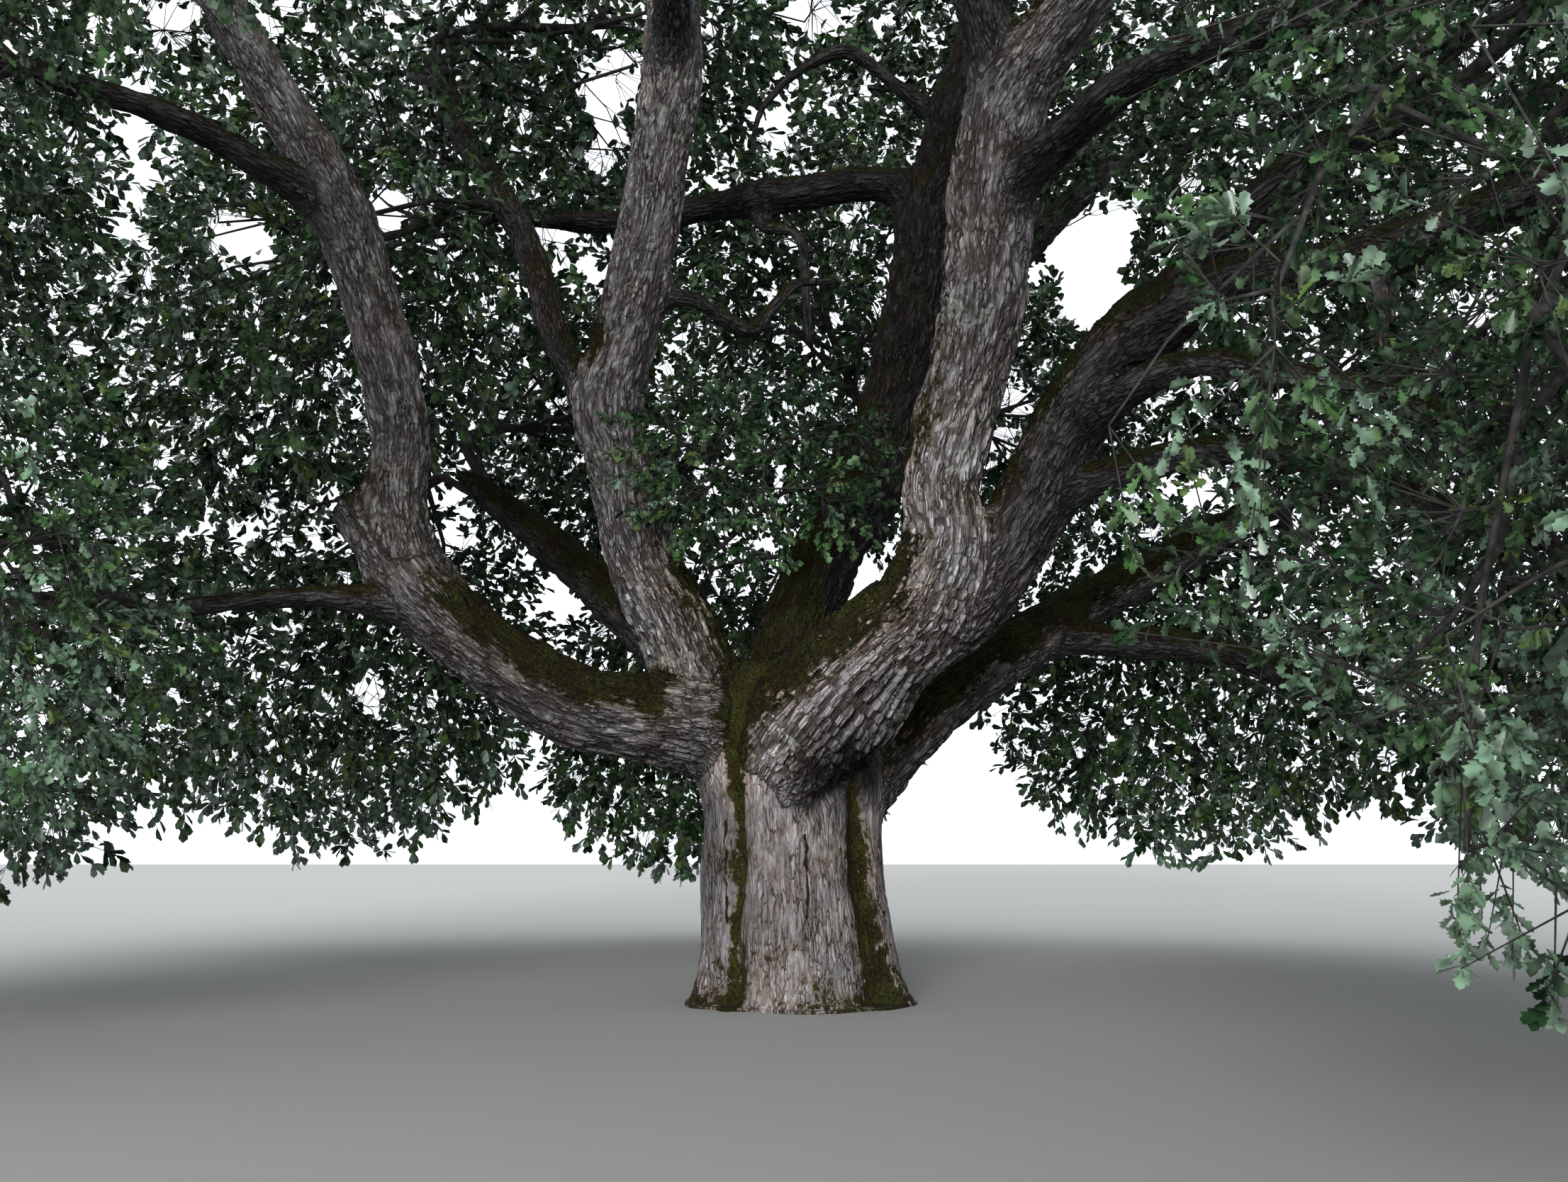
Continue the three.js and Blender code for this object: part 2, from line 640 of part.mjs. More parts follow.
function named(name, solid, material) {
  const mesh = new THREE.Mesh(geometryFrom(solid), material);
  mesh.name = name;
  return mesh;
}

const tree = new THREE.Group();
tree.add(named("trunk", trunkSolid(0), bark));

const lines = new Map();
const cutters = [trunkSolid(gap)];
for (const bough of boughs) {
  const line = boughLine(bough, lines);
  lines.set(bough.name, line);
  const cut = cutters.reduce((left, cutter) => left.subtract(cutter), boughSolid(line, 0));
  tree.add(named(bough.name, largest(cut), bark));
  cutters.push(boughSolid(line, gap));
}

const stems = boughs.flatMap((bough) => stemLines(bough, lines));
masses.forEach((mass, i) => {
  const stem = stems.find((one) => one.mass === mass);
  const obstacles = [...lines.values(), ...stems.filter((one) => one !== stem)];
  tree.add(named(mass.name, massSolid(mass, i, stem, obstacles), foliage));
});

export default tree;
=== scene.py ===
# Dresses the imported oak: one skin of bark over trunk and boughs, and finer branches, twigs and leaves.
# Metres, +Z up, -Y is the front.
import math
import time

import bpy
import numpy as np
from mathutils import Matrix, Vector


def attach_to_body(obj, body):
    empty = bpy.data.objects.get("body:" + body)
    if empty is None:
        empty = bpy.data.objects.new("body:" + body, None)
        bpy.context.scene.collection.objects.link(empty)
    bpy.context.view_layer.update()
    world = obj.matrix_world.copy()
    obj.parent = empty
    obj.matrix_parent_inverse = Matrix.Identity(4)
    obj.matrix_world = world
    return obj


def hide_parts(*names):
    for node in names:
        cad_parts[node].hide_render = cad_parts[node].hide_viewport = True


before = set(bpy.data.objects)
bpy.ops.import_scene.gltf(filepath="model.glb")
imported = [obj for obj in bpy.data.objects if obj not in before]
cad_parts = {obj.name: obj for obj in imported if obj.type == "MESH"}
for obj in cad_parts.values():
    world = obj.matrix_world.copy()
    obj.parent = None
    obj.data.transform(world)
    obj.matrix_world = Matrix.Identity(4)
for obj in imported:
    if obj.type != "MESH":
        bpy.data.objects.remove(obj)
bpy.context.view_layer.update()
started = time.time()


def report(stage):
    print(f"{stage} ({time.time() - started:.0f} s)")


# Form of the tree, as in the part's source

trunkForm = {
    "heights": [0, 0.12, 0.32, 0.65, 1.2, 1.8, 2.3, 2.7, 3.05, 3.35],
    "radii": [0.97, 0.93, 0.9, 0.875, 0.86, 0.83, 0.84, 0.83, 0.7, 0.38],
    "lean": (-0.035, 0.01),  # sideways for each metre up
    "rootFade": 0.55,  # height by which a spreading root has mostly drawn in
    # each rib: the side it is on in degrees (0 front, 90 right), how far it stands out, how far its root
    # spreads, and its width
    "ribs": [
        (8, 0.05, 0.06, 26),
        (78, 0.05, 0.17, 24),
        (136, 0.06, 0.14, 24),
        (190, 0.07, 0.18, 26),
        (241, 0.05, 0.12, 22),
        (291, 0.07, 0.09, 24),
    ],
}

# A long bough has a course of x, y, z and radius. A side bough has its parent, the share of the parent's
# length it leaves at, its tip, its two radii and how far its middle is lifted
longBoughs = {
    "bough_right_front": [
        (-0.15, -0.15, 2.3, 0.66),
        (0.3, -0.65, 2.9, 0.6),
        (0.76, -0.95, 3.35, 0.54),
        (1.17, -1.12, 3.76, 0.47),
        (1.38, -1.25, 4.35, 0.4),
        (1.36, -1.3, 4.95, 0.37),
        (1.55, -1.38, 5.75, 0.39),
        (1.77, -1.5, 6.65, 0.41),
        (1.83, -1.65, 7.6, 0.42),
        (2.0, -1.85, 8.5, 0.37),
        (2.7, -2.3, 9.4, 0.3),
        (3.4, -2.7, 10.5, 0.23),
        (3.8, -2.9, 11.6, 0.17),
    ],
    "bough_centre_left": [
        (-0.35, 0.1, 2.55, 0.5),
        (-0.88, 0.05, 2.95, 0.47),
        (-1.2, 0.1, 3.65, 0.43),
        (-1.6, 0.2, 4.4, 0.37),
        (-1.83, 0.2, 5.4, 0.34),
        (-1.95, 0.1, 6.1, 0.36),
        (-1.7, -0.05, 7.2, 0.34),
        (-1.42, -0.3, 8.6, 0.32),
        (-1.27, -0.7, 10.2, 0.29),
        (-1.7, -1.2, 12.2, 0.18),
    ],
    "bough_left_low": [
        (-0.45, -0.05, 2.6, 0.5),
        (-1.4, -0.28, 2.73, 0.45),
        (-2.27, -0.5, 2.93, 0.41),
        (-3.1, -0.58, 3.44, 0.385),
        (-3.75, -0.6, 4.05, 0.36),
        (-4.42, -0.58, 4.88, 0.22),
    ],
    "bough_left_rise": [
        (-3.8, -0.6, 4.1, 0.33),
        (-3.96, -0.6, 4.85, 0.33),
        (-3.95, -0.6, 5.5, 0.3),
        (-4.2, -0.78, 6.7, 0.3),
        (-4.62, -1.0, 7.9, 0.3),
        (-5.3, -1.4, 9.1, 0.24),
        (-6.1, -1.9, 10.5, 0.16),
    ],
    "bough_centre_back": [
        (0.05, 0.3, 2.6, 0.45),
        (-0.05, 0.6, 3.5, 0.42),
        (0.29, 0.9, 4.5, 0.38),
        (0.85, 1.15, 5.5, 0.36),
        (1.25, 1.38, 7.0, 0.36),
        (1.6, 1.6, 8.8, 0.35),
        (2.05, 1.9, 10.5, 0.31),
        (2.6, 2.3, 12.4, 0.22),
    ],
    "bough_right_low": [
        (0.3, 0.12, 2.0, 0.45),
        (0.71, 0.3, 2.27, 0.42),
        (1.3, 0.68, 2.86, 0.375),
        (2.1, 1.22, 3.45, 0.34),
        (3.16, 2.1, 4.12, 0.29),
        (4.5, 2.9, 4.9, 0.24),
        (5.7, 3.6, 5.6, 0.19),
    ],
    "bough_back_left": [
        (-0.25, 0.4, 2.4, 0.42),
        (-0.8, 1.4, 3.1, 0.38),
        (-1.7, 2.7, 4.0, 0.33),
        (-2.9, 3.9, 5.1, 0.26),
        (-4.2, 4.9, 6.2, 0.19),
    ],
    "bough_right": [
        (1.0, -1.0, 3.55, 0.38),
        (1.56, -0.9, 3.72, 0.37),
        (2.01, -1.0, 4.33, 0.36),
        (2.34, -1.25, 5.0, 0.345),
        (2.66, -1.7, 5.65, 0.31),
        (3.1, -2.3, 6.12, 0.28),
    ],
    "bough_right_reach": [
        (2.96, -2.12, 6.02, 0.26),
        (3.6, -3.2, 6.2, 0.22),
        (4.3, -4.7, 5.9, 0.18),
        (4.6, -6.6, 5.6, 0.15),
    ],
    "bough_back_left_high": [
        (-2.0, 0.15, 6.05, 0.19),
        (-2.55, 0.6, 6.87, 0.18),
        (-3.05, 1.2, 8.26, 0.175),
        (-3.99, 2.0, 9.95, 0.16),
        (-4.4, 2.7, 11.0, 0.13),
    ],
    "bough_across": [
        (1.5, 1.55, 8.5, 0.24),
        (1.1, 1.7, 9.15, 0.23),
        (-0.3, 1.9, 9.1, 0.2),
        (-2.1, 2.3, 8.95, 0.16),
        (-3.4, 2.8, 9.2, 0.13),
    ],
}
sideBoughs = {
    "bough_fork_left": ("bough_right_front", 0.74, (0.9, -2.9, 11.7), (0.25, 0.16), 0.15),
    "bough_left_side": ("bough_left_rise", 0.64, (-6.9, -2.9, 8.3), (0.16, 0.1), 0.2),
    "bough_left_droop": ("bough_left_low", 0.7, (-5.6, -1.5, 3.7), (0.13, 0.1), 0.15),
    "bough_front": ("bough_centre_left", 0.84, (-1.1, -5.3, 10.6), (0.19, 0.13), 0.8),
    "bough_right_side": ("bough_right_front", 0.66, (4.1, -4.6, 7.9), (0.2, 0.12), 0.4),
    "bough_right_middle": ("bough_right", 0.72, (4.2, -4.5, 4.9), (0.16, 0.11), 0.4),
    "bough_right_high": ("bough_right", 0.95, (5.5, -3.3, 7.8), (0.2, 0.13), 0.4),
    "bough_right_droop": ("bough_right", 0.53, (5.7, -3.5, 4.0), (0.18, 0.11), 0.6),
    "bough_back_high": ("bough_centre_back", 0.5, (4.0, 3.8, 10.2), (0.25, 0.17), 0.2),
    "bough_right_hanging": ("bough_right_low", 0.6, (7.2, 1.5, 2.3), (0.2, 0.12), 0.5),
    "bough_back": ("bough_centre_back", 0.26, (1.0, 5.8, 7.3), (0.28, 0.17), 0.3),
    "bough_inner": ("bough_centre_left", 0.36, (-1.05, -0.4, 5.35), (0.08, 0.06), 0.1),
}

# Limbs that the source leaves out: the bough each is part of, and its course as above
moreLimbs = {
    "arch": (
        "bough_centre_back",
        [
            (1.95, 1.88, 10.0, 0.1),
            (1.55, 1.85, 10.2, 0.095),
            (1.09, 1.8, 10.55, 0.09),
            (0.62, 1.8, 10.88, 0.085),
            (0.05, 1.8, 10.64, 0.075),
            (-0.4, 1.8, 10.14, 0.06),
            (-0.51, 1.8, 9.56, 0.045),
        ],
    ),
    "elbow": (
        "bough_right_reach",
        [
            (4.25, -4.7, 5.85, 0.075),
            (4.23, -4.99, 4.95, 0.065),
            (4.25, -5.15, 4.7, 0.06),
            (4.36, -5.32, 4.52, 0.055),
            (4.49, -5.49, 4.26, 0.05),
            (4.59, -5.66, 4.07, 0.045),
            (4.66, -5.86, 4.04, 0.03),
        ],
    ),
    "crook": (
        "bough_centre_left",
        [
            (-1.65, 0.05, 7.2, 0.1),
            (-1.12, 0.0, 7.18, 0.09),
            (-0.78, 0.12, 7.02, 0.08),
            (-0.48, 0.3, 6.92, 0.072),
            (-0.25, 0.52, 7.28, 0.065),
            (0.0, 0.77, 7.61, 0.055),
            (0.43, 1.06, 7.75, 0.045),
        ],
    ),
    "hanging": (
        "bough_across",
        [
            (-0.41, 1.9, 9.05, 0.08),
            (-0.35, 1.82, 8.7, 0.065),
            (0.04, 1.65, 8.5, 0.06),
            (0.12, 1.65, 7.85, 0.055),
            (0.17, 1.65, 7.2, 0.045),
        ],
    ),
}

# Masses of foliage: the bough each grows from and its middle
masses = {
    "leaves_low_front_right": ("bough_right_reach", (3.9, -9.4, 3.1)),
    "leaves_low_right_front": ("bough_right_middle", (6.4, -5.8, 3.5)),
    "leaves_low_right": ("bough_right_droop", (9.2, -2.4, 3.7)),
    "leaves_low_right_back": ("bough_right_hanging", (9.0, 2.6, 3.9)),
    "leaves_low_back_right": ("bough_right_low", (5.9, 7.4, 3.9)),
    "leaves_low_back": ("bough_back", (-1.2, 9.1, 3.5)),
    "leaves_low_left_back": ("bough_back_left", (-6.4, 6.9, 4.0)),
    "leaves_low_left": ("bough_left_droop", (-9.1, 1.2, 3.6)),
    "leaves_low_left_front": ("bough_left_droop", (-7.9, -4.2, 3.5)),
    "leaves_mid_front": ("bough_front", (0.9, -9.2, 9.4)),
    "leaves_mid_front_right": ("bough_right_side", (5.4, -7.6, 8.2)),
    "leaves_mid_right_front": ("bough_right_high", (8.9, -4.0, 8.2)),
    "leaves_mid_right_back": ("bough_right_low", (9.6, 0.9, 8.2)),
    "leaves_mid_back_right": ("bough_right_low", (8.0, 5.7, 8.2)),
    "leaves_mid_back": ("bough_back", (3.3, 9.2, 8.2)),
    "leaves_mid_back_left": ("bough_back_left", (-2.6, 9.4, 8.2)),
    "leaves_mid_left_back": ("bough_across", (-7.4, 6.5, 8.2)),
    "leaves_mid_left": ("bough_left_side", (-9.7, 1.1, 8.4)),
    "leaves_mid_left_front": ("bough_left_side", (-8.9, -4.3, 8.3)),
    "leaves_mid_front_left": ("bough_front", (-4.7, -8.3, 8.6)),
    "leaves_heart_right": ("bough_right_high", (5.9, 0.9, 9.2)),
    "leaves_heart_left": ("bough_across", (-5.7, 2.4, 8.5)),
    "leaves_heart_back": ("bough_back", (0.3, 6.2, 9.5)),
    "leaves_heart_high": ("bough_back_left_high", (-2.3, 3.5, 12.2)),
    "leaves_high_front": ("bough_fork_left", (0.5, -7.7, 13.4)),
    "leaves_high_front_right": ("bough_right_front", (6.2, -4.8, 12.9)),
    "leaves_high_right": ("bough_back_high", (7.5, 1.8, 12.9)),
    "leaves_high_back": ("bough_back_high", (3.2, 7.1, 12.9)),
    "leaves_high_back_left": ("bough_back_left_high", (-4.2, 7.0, 12.9)),
    "leaves_high_left": ("bough_left_rise", (-7.5, 1.2, 12.9)),
    "leaves_high_front_left": ("bough_left_rise", (-5.4, -4.9, 12.9)),
    "leaves_top_front": ("bough_fork_left", (0.6, -3.9, 16.8)),
    "leaves_top_right": ("bough_centre_back", (3.9, 1.9, 16.8)),
    "leaves_top_left": ("bough_centre_left", (-3.2, 2.0, 16.8)),
    "leaves_crown_top": ("bough_centre_back", (0.5, 0.2, 18.9)),
    "leaves_inner": ("bough_inner", (-0.35, -0.7, 5.15)),
}
massForm = {
    "reach": (3.45, 3.45, 2.9),  # how far a mass reaches from its middle
    "reachOf": {"leaves_crown_top": (3, 3, 2.5), "leaves_inner": (1.7, 1.0, 1.2)},
    "crownHeart": (0, 0, 7),  # twigs lean away from here
    "fan": 1.4,  # how far round twigs fan out from that lean, 0 all outward to 2 evenly on all sides
    "twigs": 5,
    "twigsOf": {
        "leaves_inner": 4,
        "leaves_heart_right": 4,
        "leaves_heart_left": 4,
        "leaves_heart_back": 4,
        "leaves_heart_high": 4,
    },
    "twigShare": 0.5,  # how far out a twig ends, as a share of the reach
    "twigStarts": (0.62, 0.97),  # the stretch of a stem that twigs leave
    "lowest": 0.75,  # no leaf goes below this height
    "wallClearance": 0.03,
}


# Camera, light and floor

view = {
    "eye": (-0.13, -16.0, 1.6),
    "tiltUp": 8.8,  # degrees
    "lens": 36.5,  # mm
    "sensor": 36.0,
    "farthest": 400,
}
studio = {
    "skyColour": (0.9, 0.94, 1.0, 1),
    "skyStrength": 1.5,
    "floorColour": (0.33, 0.33, 0.31, 1),
    "floorRoughness": 0.9,
    "floorSize": 160.0,
    "sunTurn": (76, 0, -12),  # degrees: low and from behind the camera, to reach in under the crown
    "sunStrength": 2.7,
    "sunAngle": 20,  # degrees across, for soft shadows
}


def newMaterial(name):
    # a material, its node tree and its shader
    material = bpy.data.materials.new(name)
    material.use_nodes = True
    return material, material.node_tree, material.node_tree.nodes["Principled BSDF"]


def setStage():
    camera = bpy.data.cameras.new("camera")
    camera.lens = view["lens"]
    camera.sensor_width = view["sensor"]
    camera.clip_end = view["farthest"]
    eye = bpy.data.objects.new("camera", camera)
    eye.location = view["eye"]
    eye.rotation_euler = (math.radians(90 + view["tiltUp"]), 0, 0)
    bpy.context.scene.collection.objects.link(eye)
    bpy.context.scene.camera = eye
    bpy.context.scene.view_settings.view_transform = "Standard"

    world = bpy.data.worlds.new("sky")
    world.use_nodes = True
    background = world.node_tree.nodes["Background"]
    background.inputs["Color"].default_value = studio["skyColour"]
    background.inputs["Strength"].default_value = studio["skyStrength"]
    bpy.context.scene.world = world

    sun = bpy.data.lights.new("sun", "SUN")
    sun.energy = studio["sunStrength"]
    sun.angle = math.radians(studio["sunAngle"])
    sunlight = bpy.data.objects.new("sun", sun)
    sunlight.rotation_euler = [math.radians(a) for a in studio["sunTurn"]]
    bpy.context.scene.collection.objects.link(sunlight)

    half = studio["floorSize"] / 2
    mesh = bpy.data.meshes.new("floor")
    corners = [(-half, -half, 0), (half, -half, 0), (half, half, 0), (-half, half, 0)]
    mesh.from_pydata(corners, [], [(0, 1, 2, 3)])
    floor = bpy.data.objects.new("floor", mesh)
    floorPaint, _, shader = newMaterial("floorPaint")
    shader.inputs["Base Color"].default_value = studio["floorColour"]
    shader.inputs["Roughness"].default_value = studio["floorRoughness"]
    mesh.materials.append(floorPaint)
    bpy.context.scene.collection.objects.link(floor)


setStage()
report("stage set")


# Numbers and curves


def unit(v):
    return v / np.maximum(np.linalg.norm(v, axis=-1, keepdims=True), 1e-9)


def smoothStep(low, high, x):
    t = np.clip((x - low) / (high - low), 0, 1)
    return t * t * (3 - 2 * t)


def seeded(seed):
    # the source's own run of numbers from 0 to 1
    state = (seed * 2654435761) & 0xFFFFFFFF
    while True:
        state = (state * 1664525 + 1013904223) & 0xFFFFFFFF
        yield state / 4294967296


def hashed(cells, seed):
    # a number from 0 to 1 for each lattice cell
    c = cells.astype(np.int64).astype(np.uint64)
    h = (c[..., 0] * np.uint64(73856093)) ^ (c[..., 1] * np.uint64(19349663))
    h = h ^ (c[..., 2] * np.uint64(83492791))
    h = (h ^ np.uint64(seed * 2654435761)) * np.uint64(0x9E3779B97F4A7C15)
    h = (h ^ (h >> np.uint64(29))) * np.uint64(0xBF58476D1CE4E5B9)
    return ((h >> np.uint64(40)).astype(np.float64) / float(1 << 24)).astype(np.float32)


def softNoise(spots, seed):
    # smooth noise from -1 to 1 with lumps one unit across
    cell = np.floor(spots)
    t = (spots - cell).astype(np.float32)
    t = t * t * (3 - 2 * t)
    total = 0
    for corner in np.ndindex(2, 2, 2):
        share = np.prod(np.where(corner, t, 1 - t), axis=-1)
        total = total + share * hashed(cell + corner, seed)
    return total * 2 - 1


def plates(spots, seed):
    # distance from the crack between the two nearest of scattered dots: 0 on a crack, more inside a plate
    cell = np.floor(spots)
    first = np.full(len(spots), 9.0, np.float32)
    second = first.copy()
    for neighbour in np.ndindex(3, 3, 3):
        at = cell + neighbour - 1
        dots = np.stack([hashed(at, seed + k) for k in (1, 2, 3)], -1)
        d = np.linalg.norm(at + dots - spots, axis=-1).astype(np.float32)
        second = np.where(d < first, first, np.minimum(second, d))
        first = np.minimum(first, d)
    return second - first


def closeTo(points, middle, reach):
    # 1 at the middle, and fading out over the reach
    return np.exp(-((np.linalg.norm(points - middle, axis=1) / reach) ** 2))


def swung(across, third, turns):
    # directions swung round from across towards third
    return across[:, None] * np.cos(turns)[..., None] + third[:, None] * np.sin(turns)[..., None]


def alongCourse(course, steps):
    # the source's smooth line through a course, in equal steps or at the given shares of it; columns beyond
    # x, y and z are interpolated straight
    points = np.array(course, float)
    ends = np.vstack([2 * points[0] - points[1], points, 2 * points[-1] - points[-2]])[:, :3]
    if np.isscalar(steps):
        reached = np.linspace(0, len(points) - 1, steps + 1)
    else:
        reached = np.array(steps) * (len(points) - 1)
    i = np.minimum(reached.astype(int), len(points) - 2)
    w = (reached - i)[:, None]
    leave, arrive = (ends[i + 2] - ends[i]) / 2, (ends[i + 3] - ends[i + 1]) / 2
    line = (2 * w**3 - 3 * w**2 + 1) * ends[i + 1] + (w**3 - 2 * w**2 + w) * leave
    line = line + (3 * w**2 - 2 * w**3) * ends[i + 2] + (w**3 - w**2) * arrive
    carried = points[i, 3:] * (1 - w) + points[i + 1, 3:] * w
    return np.hstack([line, carried])


def courseOf(name):
    if name in longBoughs:
        return longBoughs[name]
    if name in moreLimbs:
        return moreLimbs[name][1]
    parent, share, tip, radii, lift = sideBoughs[name]
    start = alongCourse(courseOf(parent), [share])[0, :3]
    middle = (start + np.array(tip)) / 2 + (0, 0, lift)
    return [(*start, radii[0]), (*middle, (radii[0] + radii[1]) / 2), (*tip, radii[1])]


def carryFrame(line):
    # two directions square to the line that follow it without twist
    along = unit(np.vstack([line[1] - line[0], line[2:] - line[:-2], line[-1] - line[-2]]))
    across = np.empty_like(line)
    held = np.array([0.31, 0.95, 0.05])
    for i, ahead in enumerate(along):
        held = unit(held - held.dot(ahead) * ahead)
        across[i] = held
    return along, across, np.cross(along, across)


# Skin of bark: closed tubes are fused by voxels, drawn out to soft collars and worked into ridges


skinForm = {
    "voxel": 0.023,  # size of the skin's faces at the fork
    "ease": 5.5,  # metres from the fork over which faces grow to about twice that
    "fork": (0, -0.4, 3.0),
    "step": 0.12,  # between the rings of the tubes it starts from
    "sides": 24,
    "trunkRings": 36,
    "trunkSides": 90,
    "margin": 0.45,  # how far round a tube its bark reaches
    "deepest": 1.5,  # further inside a tube than this its hold on the bark doesn't grow
    "collar": 0.1,  # how softly limbs run into each other
    "barkCollar": 0.5,  # and the bark of one into the next's, as a share of that
    "mostDrawn": 0.2,  # how far a point is drawn onto the tubes at once
    "lumps": 0.032,  # broad swellings
    "lumpSizes": (0.6, 0.27),  # the larger ones, and others half as high
    "lumpFade": (1.4, 14, 0.4),  # they shrink with height, from the first over so many metres to the last
    "ridgeWidth": 0.085,
    "ridgeLength": 0.42,
    "ridgeDepth": 0.04,
    "fullDepth": 0.4,  # limbs thinner than this radius have shallower ridges,
    "leastDepth": 0.3,  # down to this share
    "trunkDepth": 0.3,  # how deep and how wide the trunk's ridges are beside a bough's
    "trunkWidth": 0.8,
    "wander": 0.5,  # how far the ridges stray, in ridges
    "wanderOver": 0.35,  # and over how many metres
    "wanderAlong": (0.35, 0.2),  # the same along the grain
    "ridgeEdge": (0.02, 0.42),  # where a ridge rises from its crack and where it is full
    "taper": 0.4,  # how far past its tip a bough runs out into its stems
    "taperTo": 0.55,  # and the share of its radius that it ends with
}
# furrows down the trunk: their side in degrees at foot and top, lowest and highest point, and their depths
# and half widths at foot and top
furrows = [
    (-40, -37, 0.0, 1.8, (0.09, 0.09), (0.11, 0.08)),
    (-37, -33, 1.7, 3.3, (0.1, 0.15), (0.085, 0.14)),
    (54, 47, 0.0, 2.8, (0.08, 0.14), (0.2, 0.12)),
    (112, 112, 0.2, 2.4, (0.08, 0.08), (0.08, 0.08)),
    (163, 163, 0.0, 2.5, (0.1, 0.1), (0.1, 0.1)),
    (216, 216, 0.0, 2.6, (0.09, 0.09), (0.08, 0.08)),
    (268, 268, 0.1, 2.3, (0.08, 0.08), (0.08, 0.08)),
]
furrowForm = {
    "stray": 3,  # degrees
    "strayOver": (0.5, 0.5, 0.35),  # metres, and the same for how their width varies
    "vary": 0.35,
    "varyOver": 0.3,
    "foot": 0.12,  # over how much height they run out at the foot and the top
    "top": 0.2,
    "beside": 0.12,  # how far from one still counts as beside it
}
# where the right front bough's root swells out over the trunk like a knee
knee = {
    "sides": [-19, -5, 11, 34, 44, 77],  # degrees
    "lip": [2.25, 1.9, 1.94, 2.29, 2.46, 2.7],  # height of its lower edge at those sides
    "stands": [0.0, 0.06, 0.13, 0.17, 0.15, 0.0],  # how far it swells out
    "bough": "bough_right_front",
    "sharp": 0.07,  # over how much height its lip swells out
    "top": (3.2, 2.5),  # it runs out from the second height to the first
    "inner": (0.4, 0.6),  # between these distances from the axis it sets in
    "outer": (1.7, 1.3),  # and between these it ends
    "wander": 0.08,  # how far its lip strays up and down
    "hollow": (0.1, 0.13),  # how deep and how high the dent below it is
    "hollowMoss": 0.4,  # how far that dent counts as a furrow
    "overTrunk": 0.97,  # how far the trunk's own bark gives way on it
    "ownBark": 30,  # how much more its bough's bark counts there
    "ownReach": 2,  # and how much nearer it seems, in metres
}
# painted shadow: sheltered places where the bark is painted dark: middle, reach and how dark
paintedShadowPlaces = [
    ((0.1, -1.02, 2.08), 0.2, 0.7),
    ((0.3, -0.97, 2.14), 0.34, 0.93),
    ((0.55, -0.85, 2.3), 0.36, 0.93),
    ((0.7, -0.6, 2.42), 0.3, 0.93),
    ((0.74, -0.4, 2.15), 0.26, 0.93),
    ((-0.25, -0.2, 3.1), 0.3, 0.93),
    ((0.45, -1.0, 2.55), 0.5, 0.3),
    ((-0.85, -0.35, 1.1), 0.6, 0.3),
    ((-0.85, -0.3, 1.9), 0.5, 0.35),
    ((-4.45, -0.65, 5.05), 0.26, 0.9),
]
# where the bark is more deeply cracked: middle, reach and how much more; there its ridges stand higher and
# the painted shade between them is darker
crackedPlaces = [
    ((0.4, -1.1, 2.5), 0.6, 0.9),
    ((1.0, -1.4, 3.3), 0.6, 0.4),
]
# places with more or less moss than they would have: middle, reach and how much more
mossPlaces = [
    ((-1.03, -0.5, 2.97), 0.36, -1.1),
    ((-0.53, -0.7, 2.4), 0.22, 0.6),
    ((-0.4, -0.6, 2.9), 0.25, 0.4),
    ((-0.58, -0.68, 1.95), 0.3, 0.4),
    ((-3.4, -0.55, 4.25), 0.42, -0.9),
    ((-2.15, -0.15, 6.75), 0.32, 0.9),
    ((1.02, -1.3, 5.3), 0.24, 0.5),
]


def ribbed(side, height):
    # the trunk's outline as a share of its radius
    share = np.ones_like(side)
    for at, stands, spreads, width in trunkForm["ribs"]:
        aside = np.abs((side - at + 540) % 360 - 180)
        out = stands + spreads * np.exp(-height / trunkForm["rootFade"])
        share += np.exp(-((aside / width) ** 2)) * out
    return share


def trunkRadius(side, height):
    return np.interp(height, trunkForm["heights"], trunkForm["radii"]) * ribbed(side, height)


def drawIn(points):
    # distances from the fork shrink the further they are, so that equal voxels make larger faces there
    off = points - np.array(skinForm["fork"])
    far = np.linalg.norm(off, axis=1, keepdims=True) + 1e-6
    return off * (skinForm["ease"] * np.log1p(far / skinForm["ease"]) / far)


def drawOut(points):
    far = np.linalg.norm(points, axis=1, keepdims=True) + 1e-6
    return points * (skinForm["ease"] * np.expm1(far / skinForm["ease"]) / far) + np.array(skinForm["fork"])


def ringQuads(firsts, sides):
    # faces from each ring to the next, given the first point of each
    i = firsts[..., None]
    k = np.arange(sides)
    n = (k + 1) % sides
    return np.stack([i + k, i + n, i + n + sides, i + k + sides], -1).reshape(-1, 4)


def ringFaces(rings, sides, start=0):
    # the faces of a closed tube of rings, as lists of corners
    walls = ringQuads(np.arange(rings - 1) * sides + start, sides).tolist()
    last = start + (rings - 1) * sides
    return walls + [list(range(start + sides - 1, start - 1, -1)), list(range(last, last + sides))]


